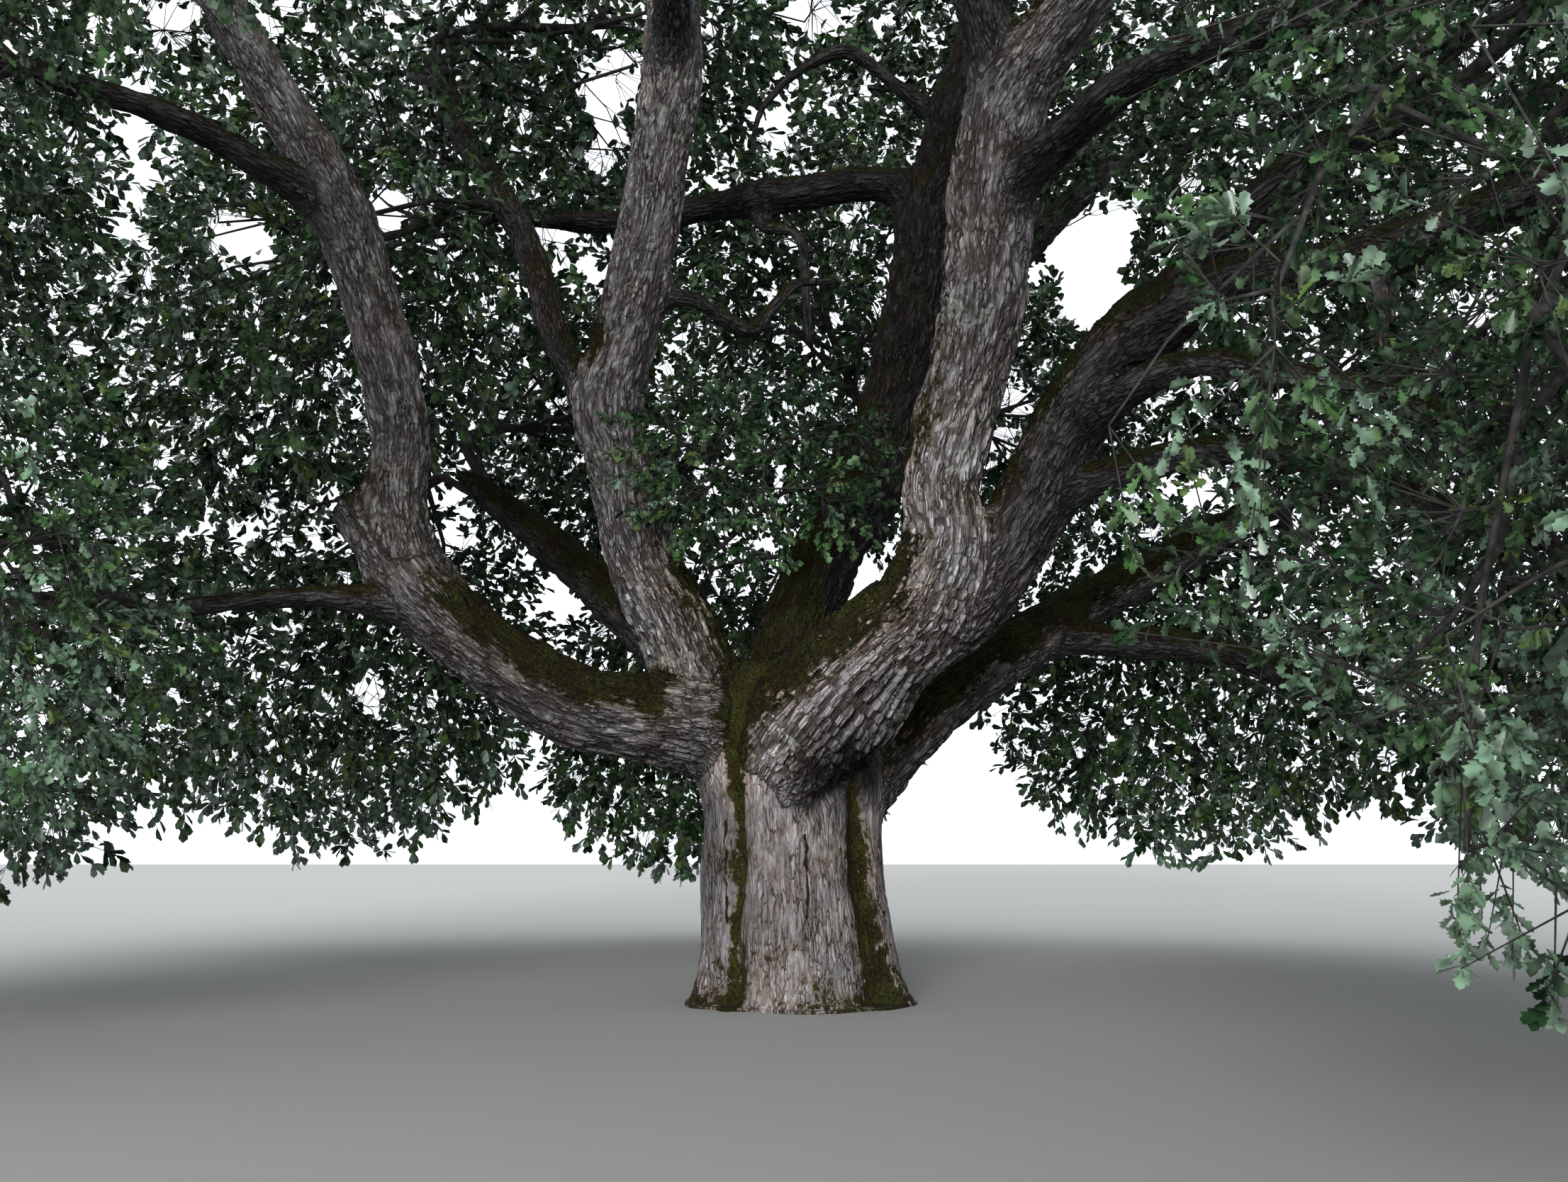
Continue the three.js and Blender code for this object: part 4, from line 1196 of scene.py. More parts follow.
def barkMaterial(name, values):
    material, tree, shader = newMaterial(name)
    grain = reads(tree, "grain")
    position = place(tree, "NewGeometry", {}).outputs["Position"]
    crest = reads(tree, "crest")

    across, along, crack = values["coarse"]
    sizes = {"Across": across, "Along": along, "Crack": crack, "Closed": values["closed"]}
    tones = {"Pale": (1, 1, 1), "Dull": (0.7,) * 3, "Deep": (0.15,) * 3}
    coarse = useGroup(tree, shared["plates"], Grain=grain, **sizes, **tones)
    across, along, crack = values["fine"]
    fine = useGroup(tree, shared["plates"], Grain=grain, Across=across, Along=along, Crack=crack, **barkTones)
    colour = blend(tree, values["coarseShare"], fine["Color"], coarse["Color"], "MULTIPLY")
    patches = rising(tree, noise(tree, position, 2.2, 3.0), 0.3, 0.7)
    patches = blend(tree, patches, barkWear["warm"], barkWear["cool"])
    colour = blend(tree, barkWear["patches"], colour, patches, "MULTIPLY")
    # painted shade in the hollows between the ridges, the deeper the ridges the darker
    between = rising(tree, crest, 0.0, 0.5, barkWear["between"], 0.0)
    between = calc(tree, "MULTIPLY", between, reads(tree, "rough"))
    colour = blend(tree, between, colour, barkTones["Deep"])
    lichen = useGroup(tree, shared["lichen"], Place=position, Amount=values["lichen"])
    colour = blend(tree, calc(tree, "MULTIPLY", lichen["Mask"], barkWear["lichen"]), colour, lichen["Color"])
    # painted light and shade, with the bark's own tone: the lightness kept for each point scales the colour
    colour = blend(tree, 1.0, colour, grey(tree, reads(tree, "light")), "MULTIPLY")

    for foot, top, width in longCracks if name == "trunk_bark" else []:
        crack = useGroup(tree, shared["crack"], Place=position, Foot=foot, Top=top, Width=width)["Mask"]
        colour = blend(tree, crack, colour, barkWear["crack"])
    bare = calc(tree, "MULTIPLY", calc(tree, "MULTIPLY", coarse["Inside"], crest), barkWear["bareCrests"])
    amount, ragged = reads(tree, "moss"), values["ragged"]
    moss = useGroup(tree, shared["moss"], Place=position, Amount=amount, Ragged=ragged, Bare=bare)
    stained = blend(tree, 1.0, colour, barkWear["stain"], "MULTIPLY")
    colour = blend(tree, calc(tree, "MULTIPLY", moss["Stain"], barkWear["stained"]), colour, stained)
    colour = blend(tree, moss["Mask"], colour, moss["Color"])
    connect(tree, shader.inputs["Base Color"], colour)
    roughness = rising(tree, moss["Mask"], 0.0, 1.0, barkWear["roughness"], 1.0)
    connect(tree, shader.inputs["Roughness"], roughness)
    shader.inputs["Specular IOR Level"].default_value = barkWear["shine"]

    height = calc(tree, "MULTIPLY", fine["Height"], values["relief"][1])
    height = calc(tree, "MULTIPLY_ADD", coarse["Height"], values["relief"][0], height)
    tufts = calc(tree, "MULTIPLY", moss["Mask"], moss["Height"])
    height = calc(tree, "MULTIPLY_ADD", tufts, barkWear["mossRelief"], height)
    bump = place(tree, "Bump", {}, Height=height, Strength=1.0, Distance=1.0)
    connect(tree, shader.inputs["Normal"], bump.outputs[0])
    return material


def addBark():
    # one piece of bark for each limb of the source
    materials = {slot: barkMaterial(slot, values) for slot, values in barks.items()}
    points, quads, normals, owner, look = makeSkin()
    limbs = ["trunk", *tubes]
    for limb, (bough, course) in moreLimbs.items():
        owner[owner == limbs.index(limb)] = limbs.index(bough)
    faceOwner = owner[quads[:, 0]]
    for index, name in enumerate(["trunk", *longBoughs, *sideBoughs]):
        used, faces = np.unique(quads[faceOwner == index], return_inverse=True)
        slot = "trunk_bark" if name == "trunk" else "bough_bark"
        piece = addObject(name + "_bark", points[used], faces.reshape(-1, 4), materials[slot])
        piece.data.normals_split_custom_set_from_vertices(normals[used].tolist())
        for label, values in look.items():
            store(piece, label, values[used])
        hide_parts(name)
    report("bark pieces made")


# Crown: every mass grows on from its bough by the source's rule, carried on to finer twigs and to leaves


crownForm = {
    "moreTwigs": 9,  # in each mass, beside the source's own
    "moreTurn": 1.3,  # radians round the stem from those to these
    "moreLow": 0.25,  # how much lower on the stem the first of these starts
    "moreReach": (0.5, 0.3),  # how far out they end at least, and by how much that varies
    "twigInset": 0.3,  # how far inside the mass's space they end
    "branchlets": 90,  # in each full mass
    "shoots": 1700,  # places for them in each full mass, of which some are taken
    "fewest": (20, 300),  # branchlets and places for shoots in a small mass
    "insets": ((0.35, 0.15), (0.16, 0.07)),  # how far inside its space they end: metres, or a share of it
    "stray": 0.06,  # how far those of shoots stray
    "stemForks": (0.2, 0.5, 0.8),  # where branchlets fork off a stem's last steps
    "share": 0.22,  # of the places that are taken everywhere
    "outer": 1.3,  # how much more of the outer places are taken than of the inner ones
    "coverSquare": 48,  # the squares that this is evened out over, in pixels of the photograph
    "coverSquares": 60,  # and their number each way
    "radii": {"stem": 0.05, "twig": 0.02, "branchlet": 0.008, "shoot": 0.003},  # at their ends
    "crooked": 0.1,  # how far a branch strays from its line, as a share of its length
    "arch": [(6, 0.16), (11, 0.1), (99, 0.02)],  # how far twigs arch, by the height their mass lies below
    "limbClearance": 0.12,
    "stemSteps": 8,
    "stemCrooked": 0.03,
    "stemsApart": 0.5,  # how far from the middle of their bough's tip stems start that share it, in radii
    "stemBend": (0.2, 0.1),  # how far a stem first runs on and aside, as shares of its length
    "stemRoot": 0.7,  # how deep in its bough it starts, in radii
    "stemThick": (0.62, 0.95),  # its radius as a share of its bough's, when it shares it and when alone
    "twigReach": 1.5,  # how much further out than the source's the twigs end
    "closest": 0.12,  # a branch that forks off is at least so long
    # the shares of its length where each forks
    "forks": {"twigs": (0.25, 0.4, 0.55, 0.7, 0.85, 0.97), "branchlets": (0.3, 0.55, 0.8, 0.98)},
    "sides": {"stems": 8, "twigs": 4, "branchlets": 3, "shoots": 3},
}
# The photograph's frame in pixels, and what of the sky shows between the leaves: x, y and radius
photoSize = (2212, 1668)
skyGaps = [
    (774, 332, 30),
    (332, 335, 48),
    (545, 300, 40),
    (870, 120, 55),
    (860, 215, 35),
    (1540, 330, 62),
    (1545, 415, 50),
    (1428, 562, 30),
    (1410, 625, 26),
    (2110, 90, 45),
    (1905, 515, 22),
    (632, 752, 20),
    (520, 975, 24),
    (1095, 840, 18),
    (250, 30, 40),
    (1150, 20, 40),
    (2085, 440, 28),
    (2035, 520, 30),
]
# What leaves keep clear, in pixels of the photograph and metres from the camera
openView = {
    "gapMargin": 90,  # pixels round a gap for leaves a metre off, and fewer further off
    # in front of the limbs nothing hangs between these edges: rows of y and x
    "left": [(0, 450), (100, 430), (190, 350), (620, 470), (1668, 470)],
    "right": [(0, 1590), (280, 1550), (465, 1720), (665, 1600), (885, 1550), (1100, 2045), (1668, 2045)],
    "limbDepth": 15.2,
    "top": -40,  # y from which that holds, just above the frame
    "nearest": 6.5,  # leaves in the view are at least so far off
    "nearestAbove": 1040,  # where they are above this y
    "behind": 0.5,  # what is nearer than this isn't seen
    "frameMargin": 60,  # pixels round the frame that count as seen when leaves get their kind
}


def seenAt(points):
    # where points fall in the photograph, in its pixels, and how far off they are
    tilt = math.radians(view["tiltUp"])
    off = points - np.array(view["eye"])
    depth = off[:, 1] * math.cos(tilt) + off[:, 2] * math.sin(tilt)
    rise = off[:, 2] * math.cos(tilt) - off[:, 1] * math.sin(tilt)
    scale = photoSize[0] * view["lens"] / view["sensor"] / np.maximum(depth, 0.3)
    return photoSize[0] / 2 + off[:, 0] * scale, photoSize[1] / 2 - rise * scale, depth


def inFrame(points, margin):
    u, v, depth = seenAt(points)
    halfWide, halfHigh = photoSize[0] / 2, photoSize[1] / 2
    inside = (np.abs(u - halfWide) < halfWide + margin) & (np.abs(v - halfHigh) < halfHigh + margin)
    return inside & (depth > openView["behind"])


def leftOpen(points):
    # whether leaves there would close a gap or hide the limbs
    u, v, depth = seenAt(points)
    shut = np.zeros(len(points), bool)
    for x, y, radius in skyGaps:
        shut |= np.hypot(u - x, v - y) < radius + openView["gapMargin"] / depth
    left = np.interp(v, *zip(*openView["left"]))
    right = np.interp(v, *zip(*openView["right"]))
    below = v > openView["top"]
    shut |= (u > left) & (u < right) & (depth < openView["limbDepth"]) & below
    across = np.abs(u - photoSize[0] / 2) < photoSize[0] / 2
    shut |= across & below & (v < openView["nearestAbove"]) & (depth < openView["nearest"])
    return shut & (depth > openView["behind"])


def massReach(name):
    return np.array(massForm["reachOf"].get(name, massForm["reach"]), float)


def insideSpace(points, name, inset):
    # the ellipsoid round the mass's middle, on its own side of the wall to each other mass
    size, middle = massReach(name), np.array(masses[name][1], float)
    off = points - middle
    inside = ((off / (size - inset)) ** 2).sum(1) < 1
    inside &= points[:, 2] > massForm["lowest"] + inset
    for other, (bough, otherMiddle) in masses.items():
        if other != name:
            away = np.array(otherMiddle) - middle
            span = np.linalg.norm(away)
            share = size[0] / (size[0] + massReach(other)[0])
            inside &= off @ away / span < span * share - massForm["wallClearance"] - inset
    return inside


def clearOfLimbs(points, clearance):
    # whether points are at least so far from the trunk and the boughs
    clear = np.ones(len(points), bool)
    for which, *rest in placesOnTree(points, clearance).values():
        clear[which] = False
    return clear


def stemLines(bough):
    # stems at a bough's tip stand evenly round it, each on the side that its mass lies on
    *tip, radius = tubes[bough]["tip"]
    tip, along = np.array(tip), tubes[bough]["ahead"]
    across = unit(np.array([-along[1], along[0], 0]))
    third = np.cross(along, across)

    def turnOf(name):
        away = np.array(masses[name][1]) - tip
        return math.atan2(away @ third, away @ across)

    sharing = sorted((name for name in masses if masses[name][0] == bough), key=turnOf)
    apart = 2 * math.pi / max(len(sharing), 1)
    first = sum(turnOf(name) - i * apart for i, name in enumerate(sharing)) / max(len(sharing), 1)
    alone = len(sharing) == 1
    onward, sideways = crownForm["stemBend"]
    stems = {}
    for i, name in enumerate(sharing):
        turn = first + i * apart
        aside = across * math.cos(turn) + third * math.sin(turn)
        start = tip + aside * (0 if alone else radius * crownForm["stemsApart"])
        middle = np.array(masses[name][1], float)
        span = np.linalg.norm(middle - start)
        bend = start + along * onward * span + aside * sideways * span
        root = start - along * radius * crownForm["stemRoot"]
        thick = radius * crownForm["stemThick"][alone]
        stems[name] = {"course": [tuple(start), tuple(bend), tuple(middle)], "root": root, "thick": thick}
    return stems


def fanDirection(i, count, heading, turn):
    # the source's fan of directions round a heading, each a golden angle on from the last
    ahead = 1 - massForm["fan"] * (i + 0.5) / count
    flat = math.sqrt(1 - ahead * ahead)
    angle = i * math.pi * (3 - math.sqrt(5)) + turn
    direction = Vector((flat * math.cos(angle), flat * math.sin(angle), ahead))
    direction.rotate(Vector((0, 0, 1)).rotation_difference(Vector(heading)))
    return np.array(direction)


def spreadPoints(count, name, inset, start):
    # about so many points spread evenly over a mass's space: a ball takes up 1 in 1.9 of its cube
    steps = np.arange(start, start + int(count * 1.9))[:, None]
    cube = (steps * np.array([0.8191725, 0.6710436, 0.5497005])) % 1 * 2 - 1
    cube = cube[(cube**2).sum(1) < 1]
    found = cube * massReach(name) + np.array(masses[name][1])
    return found[insideSpace(found, name, inset)]


def branchLines(starts, ends, steps, bow, rng):
    # crooked lines from starts to ends, arched up by bow as a share of their length
    share = np.linspace(0, 1, steps + 1)[None, :, None]
    starts, ends = starts[:, None], ends[:, None]
    span = np.linalg.norm(ends - starts, axis=2, keepdims=True)
    lines = starts + (ends - starts) * share
    lines = lines + np.array([0, 0, 1]) * span * bow * 4 * share * (1 - share)
    stray = rng.normal(size=lines.shape) * crownForm["crooked"] * span * np.minimum(share, 1 - share) * 2
    return lines + stray


def attach(targets, samples, ways):
    # the best place to branch off for each target: near it, and not turning back
    away = targets[:, None] - samples[None]
    span = np.linalg.norm(away, axis=2)
    forward = (away * ways[None]).sum(2) / np.maximum(span, 1e-6)
    tooClose = (span < crownForm["closest"]) * 9
    return np.argmin(span * (1.9 - forward) + tooClose, axis=1)


def pointsAt(lines, reached):
    # points on each line, reached after so many of its steps, and the step that each is on
    i = np.minimum(reached.astype(int), lines.shape[1] - 2)
    w = (reached - i)[..., None]
    row = np.arange(len(lines))[:, None]
    start, end = lines[row, i], lines[row, i + 1]
    return start * (1 - w) + end * w, end - start


def alongLines(lines, shares):
    # points at the given shares of each line, with the direction there
    samples, steps = pointsAt(lines, np.array(shares)[None] * (lines.shape[1] - 1))
    return samples.reshape(-1, 3), unit(steps).reshape(-1, 3)


def cutBack(lines, shares):
    # lines cut off at a share of their length each
    reached = np.linspace(0, 1, lines.shape[1])[None] * shares[:, None] * (lines.shape[1] - 1)
    return pointsAt(lines, reached)[0]


def twigLines(name, stem, small, draw, rng):
    # the source's twigs, and more between them
    size, middle = massReach(name), np.array(masses[name][1], float)
    heading = unit(middle - np.array(massForm["crownHeart"]))
    low, high = massForm["twigStarts"]
    turn = next(draw) * 2 * math.pi
    starts, tips = [], []
    count = massForm["twigsOf"].get(name, massForm["twigs"])
    for k in range(count):
        out = fanDirection(k, count, heading, turn)
        starts.append(low + (high - low) * (count - k - next(draw)) / count)
        tips.append(middle + out * size * massForm["twigShare"] * crownForm["twigReach"])
        next(draw)  # the source turns the twig's three sides by this
    count = int(crownForm["moreTwigs"] * small**0.5)
    lower, (least, varied) = crownForm["moreLow"], crownForm["moreReach"]
    for k in range(count):
        out = fanDirection(k, count, heading, turn + crownForm["moreTurn"])
        starts.append(low - lower + (high - low + lower) * (count - k - rng.random()) / count)
        tips.append(middle + out * size * (least + varied * rng.random()))
    starts = alongCourse(stem["course"], np.clip(starts, 0, 0.99))[:, :3]
    tips = np.array(tips)
    for again in range(6):
        outside = ~insideSpace(tips, name, crownForm["twigInset"])
        tips[outside] = tips[outside] * 0.85 + middle * 0.15
    arch = next(arch for height, arch in crownForm["arch"] if middle[2] < height)
    return branchLines(starts, tips, 5, arch, rng), arch


def growMass(index, name, stem):
    # the branches of a mass: for each kind its lines and their radii at root and tip
    draw = seeded(index + 1)
    rng = np.random.default_rng(index + 1)
    size, middle = massReach(name), np.array(masses[name][1], float)
    small = (size / np.array(massForm["reach"])).prod()  # its share of a full mass
    heading = unit(middle - np.array(massForm["crownHeart"]))
    ends = crownForm["radii"]
    insets = [min(most, size[0] * share) for most, share in crownForm["insets"]]

    stemLine = alongCourse(stem["course"], crownForm["stemSteps"])[:, :3]
    stemLine[1:-1] += rng.normal(size=stemLine[1:-1].shape) * crownForm["stemCrooked"]
    stemLine = np.vstack([stem["root"], stemLine])[None]
    stemEnds = stem["thick"], ends["stem"] * max(small**0.33, 0.35)
    twigs, arch = twigLines(name, stem, small, draw, rng)
    twigEnds = ends["stem"] * 0.9 * max(small**0.33, 0.4), ends["twig"] * 0.7

    samples, ways = alongLines(twigs, crownForm["forks"]["twigs"])
    stemSamples, stemWays = alongLines(stemLine[:, -4:], crownForm["stemForks"])
    samples, ways = np.vstack([samples, stemSamples]), np.vstack([ways, stemWays])
    count = max(crownForm["branchlets"] * small, crownForm["fewest"][0])
    goals = spreadPoints(count, name, insets[0], 7 + index)
    goals = goals[clearOfLimbs(goals, crownForm["limbClearance"])]
    twigForks = attach(goals, samples, ways)
    branchlets = branchLines(samples[twigForks], goals, 3, arch * 0.7, rng)

    samples, ways = alongLines(branchlets, crownForm["forks"]["branchlets"])
    count = max(crownForm["shoots"] * small, crownForm["fewest"][1])
    goals = spreadPoints(count, name, insets[1], 1000 + index)
    goals = goals + rng.normal(size=goals.shape) * crownForm["stray"]
    goals = goals[~leftOpen(goals) & clearOfLimbs(goals, crownForm["limbClearance"])]
    forks = attach(goals, samples, ways)
    return {
        "stems": (stemLine, *stemEnds),
        "twigs": (twigs, *twigEnds),
        "branchlets": (branchlets, ends["twig"] * 0.75, ends["branchlet"] * 0.8),
        "shoots": (branchLines(samples[forks], goals, 2, 0.03, rng), ends["branchlet"] * 0.8, ends["shoot"]),
        "forks": {"twigs": twigForks, "branchlets": forks},
        "outward": (goals - middle) @ heading / size.max(),
    }


def prune(mass, kept):
    # drops the shoots that aren't kept, and what then is bare
    for kind, bears in (("branchlets", "shoots"), ("twigs", "branchlets")):
        lines, *ends = mass[bears]
        mass[bears] = (lines[kept], *ends)
        forks = mass["forks"][kind][kept]
        shares = np.array(crownForm["forks"][kind])
        lines, *ends = mass[kind]
        forks = forks[forks < len(lines) * len(shares)]
        furthest = np.zeros(len(lines))
        np.maximum.at(furthest, forks // len(shares), shares[forks % len(shares)])
        mass[kind] = (cutBack(lines, np.maximum(furthest, 0.05)), *ends)
        kept = furthest > 0
    lines, *ends = mass["twigs"]
    mass["twigs"] = (lines[kept], *ends)


def kindOf(ends):
    # which leaves a shoot's end carries
    depths = list(leafForm["depths"].values())
    seen = inFrame(ends, openView["frameMargin"])
    return np.where(seen, np.searchsorted(depths, seenAt(ends)[2]), len(depths))


def chosenShoots(shoots, outward, rng):
    # a share of the shoots, more of the outer ones, and in the view as many more as close the crown there
    ends = shoots[:, 2]
    u, v, depth = seenAt(ends)
    kind = kindOf(ends)
    seen = kind < len(leafForm["depths"])
    lengths, perShoot = (np.array(list(leafForm[label].values()))[kind] for label in ("sizes", "perShoot"))
    lengths = lengths * photoSize[0] * view["lens"] / view["sensor"] / depth
    square, squares = crownForm["coverSquare"], crownForm["coverSquares"]
    adds = lengths**2 * perShoot * leafForm["shows"] / square**2
    row, column = (np.clip((a / square).astype(int) + 2, 1, squares) for a in (v, u))
    cover = np.zeros((squares + 2, squares + 2))
    # a near shoot spreads over its neighbouring squares, a far one hardly
    wide, narrow = np.full((3, 3), 1 / 9), np.array([[1, 2, 1], [2, 8, 2], [1, 2, 1]]) / 20
    spread = [wide, narrow, narrow]
    most = list(leafForm["cover"].values())
    taken = rng.random(len(shoots)) < crownForm["share"] * np.maximum(1 + crownForm["outer"] * outward, 0.1)
    order = np.concatenate([np.flatnonzero(taken & seen), rng.permutation(np.flatnonzero(~taken & seen))])
    for i in order:
        if taken[i] or cover[row[i], column[i]] < most[kind[i]]:
            cover[row[i] - 1 : row[i] + 2, column[i] - 1 : column[i] + 2] += adds[i] * spread[kind[i]]
            taken[i] = True
    return taken


def rods(lines, thick, thin, sides):
    # rods that taper along lines, with so many sides: points and four-sided faces
    count, rings = lines.shape[:2]
    along = unit(lines[:, -1] - lines[:, 0])
    across = unit(np.cross(along, np.where(np.abs(along[:, 2:]) < 0.9, [[0, 0, 1.0]], [[1.0, 0, 0]])))
    third = np.cross(along, across)
    ring = swung(across, third, np.arange(sides) * 2 * math.pi / sides)
    radii = thick + (thin - thick) * np.linspace(0, 1, rings) ** 0.8
    points = lines[:, :, None] + ring[:, None] * radii[None, :, None, None]
    firsts = np.arange(count)[:, None] * rings * sides + np.arange(rings - 1) * sides
    return points.reshape(-1, 3), ringQuads(firsts, sides)


# Leaves: an oak's lobed outline, a few faces each, in sprays at the ends of the shoots


leafForm = {
    # one side of each kind's outline, from stalk to tip: shares of its length along it and across
    "near": [
        (0, 0),
        (0.2, 0.12),
        (0.28, 0.07),
        (0.42, 0.23),
        (0.5, 0.13),
        (0.66, 0.3),
        (0.75, 0.17),
        (0.88, 0.18),
        (1, 0),
    ],
    "middle": [(0, 0), (0.3, 0.23), (0.45, 0.12), (0.7, 0.31), (1, 0)],
    "far": [(0, 0), (0.36, 0.2), (0.78, 0.27), (1, 0)],
    "unseen": [(0, 0), (0.36, 0.2), (0.78, 0.27), (1, 0)],
    "depths": {"near": 9.5, "middle": 17.0, "far": 99.0},  # metres from the camera up to which each is used
    "sizes": {"near": 0.115, "middle": 0.13, "far": 0.18, "unseen": 0.27},
    "perShoot": {"near": 13, "middle": 12, "far": 10, "unseen": 12},
    "cover": {"near": 3.8, "middle": 3.8, "far": 2.6},  # layers of leaves over each square of the view
    "spread": (1.25, 0.45),  # how far leaves lean out from the shoot, low and at its end, in radians
    "hang": 0.22,  # how far leaves droop
    "shows": 0.16,  # how much of its length squared a leaf covers, as it is turned any way
    "stretch": 0.5,  # the share of a shoot that carries leaves
    "crowded": 1.15,  # how much closer they stand towards its end
    "strays": (0.03, 0.35, 0.22),  # along the shoot as a share, round it and in their lean in radians
    "tilt": 0.6,  # how far they tip sideways
    "turn": 2.39996,  # radians round the shoot from each leaf to the next
    "vary": (0.72, 1.15),  # smallest and largest, as shares of their size
    "fold": (-0.1, 0.5),  # least and most, as are the next
    "bend": (-0.1, 0.35),
    "mostTriangles": 190000,  # in one piece
}
# leaf colours, each with its share of the sprays and how glossy it is; they are dealt out from the darkest to
# the palest partly by painted light and shade, so the deep tint stands for shaded sprays and the pale
# blue-green for lit ones
tints = {
    "deep": ((0.011, 0.029, 0.011), 0.34, 0.08),
    "green": ((0.04, 0.09, 0.027), 0.28, 0.3),
    "yellowGreen": ((0.062, 0.105, 0.024), 0.1, 0.3),
    "blueGreen": ((0.092, 0.157, 0.098), 0.28, 0.6),
}
# what decides which tint a spray takes, from the darkest up to the palest: random tone, and painted light and
# shade
paintedLightAndTone = {
    "chance": 0.42,
    "patches": ((2.4, 0.35), (1.1, 0.4), (0.45, 0.4)),  # their size in metres and strength
    "outer": 0.6,  # painted light: how much lighter the outer sprays of a mass are
    "outward": 0.8,  # painted light: and those on the outer side of the crown
    "upper": ((4, 8), (-0.7, 0.3)),  # painted light and shade: and its upper ones, at these heights of masses
    # painted light: how much lighter a whole mass is, and how far its own sprays differ
    "masses": {
        "leaves_low_front_right": (1.0, 1.8),
        "leaves_low_right_front": (1.3, 1.8),
        "leaves_mid_front_right": (-0.4, 1.4),
        "leaves_mid_right_front": (-0.3, 1.4),
        "leaves_mid_front_left": (0.7, 1.0),
        "leaves_low_left_front": (0.8, 1.5),
        "leaves_low_left": (0.6, 1.5),
        "leaves_low_left_back": (0.4, 1.4),
        "leaves_mid_left": (0.7, 1.5),
        "leaves_mid_left_front": (0.9, 1.5),
        "leaves_mid_left_back": (0.4, 1.4),
        "leaves_high_left": (0.5, 1.0),
        "leaves_heart_left": (0.3, 1.0),
        "leaves_heart_back": (0.3, 1.0),
        "leaves_heart_high": (0.3, 1.0),
    },
    "otherMasses": (0.0, 1.0),
}


def leafPattern(outline):
    # corners of a flat leaf as x along it and y across, and its triangles
    side = np.array(outline, float)
    inner = side[1:-1]
    corners = np.vstack([side[:1], inner, side[-1:], inner * [1, -1]])
    last = len(side) - 1
    triangles = []
    for mirrored in (False, True):
        at = [0] + [i + (last if mirrored else 0) for i in range(1, last)] + [last]
        half = [(at[i - 1], at[i], at[i + 1]) for i in range(1, last, 2)]
        half += [(0, at[i], at[min(i + 2, last)]) for i in range(2, last, 2)]
        triangles += [t if mirrored else t[::-1] for t in half]
    return corners, np.array(triangles)


def leavesOn(shoots, kind, rng):
    # leaves of a kind set round the ends of shoots: their points and triangles
    count, each = len(shoots), leafForm["perShoot"][kind]
    onShoot, roundShoot, inLean = leafForm["strays"]
    share = 1 - leafForm["stretch"] * (np.arange(each) / each) ** leafForm["crowded"]
    share = np.clip(share + rng.normal(size=(count, each)) * onShoot, 0.2, 1)
    base = pointsAt(shoots, share * 2)[0]
    along = unit(shoots[:, 2] - shoots[:, 1])
    across = unit(np.cross(along, rng.normal(size=(count, 3))))
    third = np.cross(along, across)
    turns = np.arange(each) * leafForm["turn"] + rng.normal(size=(count, each)) * roundShoot
    lean = np.interp(share, [0.4, 1], leafForm["spread"]) + rng.normal(size=(count, each)) * inLean
    out = swung(across, third, turns)
    ahead = along[:, None] * np.cos(lean)[..., None] + out * np.sin(lean)[..., None]
    ahead[..., 2] -= leafForm["hang"] * (0.5 + rng.random((count, each)))
    ahead = unit(ahead)
    up = np.array([0, 0, 1.0]) + rng.normal(size=(count, each, 3)) * leafForm["tilt"]
    aside = unit(np.cross(up, ahead))
    face = np.cross(ahead, aside)
    corners, triangles = leafPattern(leafForm[kind])
    lengths = leafForm["sizes"][kind] * rng.uniform(*leafForm["vary"], (count, each))[..., None, None]
    fold = rng.uniform(*leafForm["fold"], (count, each))[..., None]
    bend = rng.uniform(*leafForm["bend"], (count, each))[..., None]
    height = np.abs(corners[:, 1]) * fold - corners[:, 0] ** 2 * bend * 0.5
    flat = ahead[:, :, None] * corners[:, 0, None] + aside[:, :, None] * corners[:, 1, None]
    points = base[:, :, None] + lengths * (flat + face[:, :, None] * height[..., None])
    first = np.arange(count * each)[:, None, None] * len(corners)
    return points.reshape(-1, 3), (first + triangles).reshape(-1, 3)


def leafGroup():
    # the top and the paler underside of leaves, lighter and darker from place to place, and so strongly from
    # leaf to leaf that it paints highlights and shade between neighbours
    inputs = {"Place": None, "Under": 0.0, "Top": (0.05, 0.1, 0.03), "Pale": (0.11, 0.16, 0.1), "Paler": 0.35}
    tree, given, out = newGroup("leafFaces", inputs, {"Color": "Color", "Roughness": "Float"})
    patches = noise(tree, given["Place"], 1.6, 2.0)
    each = noise(tree, given["Place"], 13.0, 1.0)
    # random tone, with a leaf-to-leaf spread strong enough to stand for painted highlights and shade
    tone = calc(tree, "MULTIPLY_ADD", each, 0.85, calc(tree, "MULTIPLY", patches, 0.35))
    tone = grey(tree, rising(tree, tone, 0.42, 0.78, 0.3, 1.9))
    under = calc(tree, "MULTIPLY", given["Under"], given["Paler"])
    colour = blend(tree, under, given["Top"], given["Pale"])
    connect(tree, out["Color"], blend(tree, 1.0, colour, tone, "MULTIPLY"))
    connect(tree, out["Roughness"], rising(tree, each, 0.3, 0.7, 0.28, 0.45))
    return tree


def mottledGroup():
    # a rough surface with darker and paler spots
    inputs = {"Place": None, "Size": 12.0, "Dark": (0.012, 0.01, 0.009), "Pale": (0.052, 0.047, 0.043)}
    tree, given, out = newGroup("mottled", inputs, {"Color": "Color", "Height": "Float"})
    spots = noise(tree, given["Place"], given["Size"], 5.0)
    connect(tree, out["Color"], blend(tree, rising(tree, spots, 0.35, 0.7), given["Dark"], given["Pale"]))
    connect(tree, out["Height"], spots)
    return tree


shared |= {"leaf": leafGroup(), "mottled": mottledGroup()}


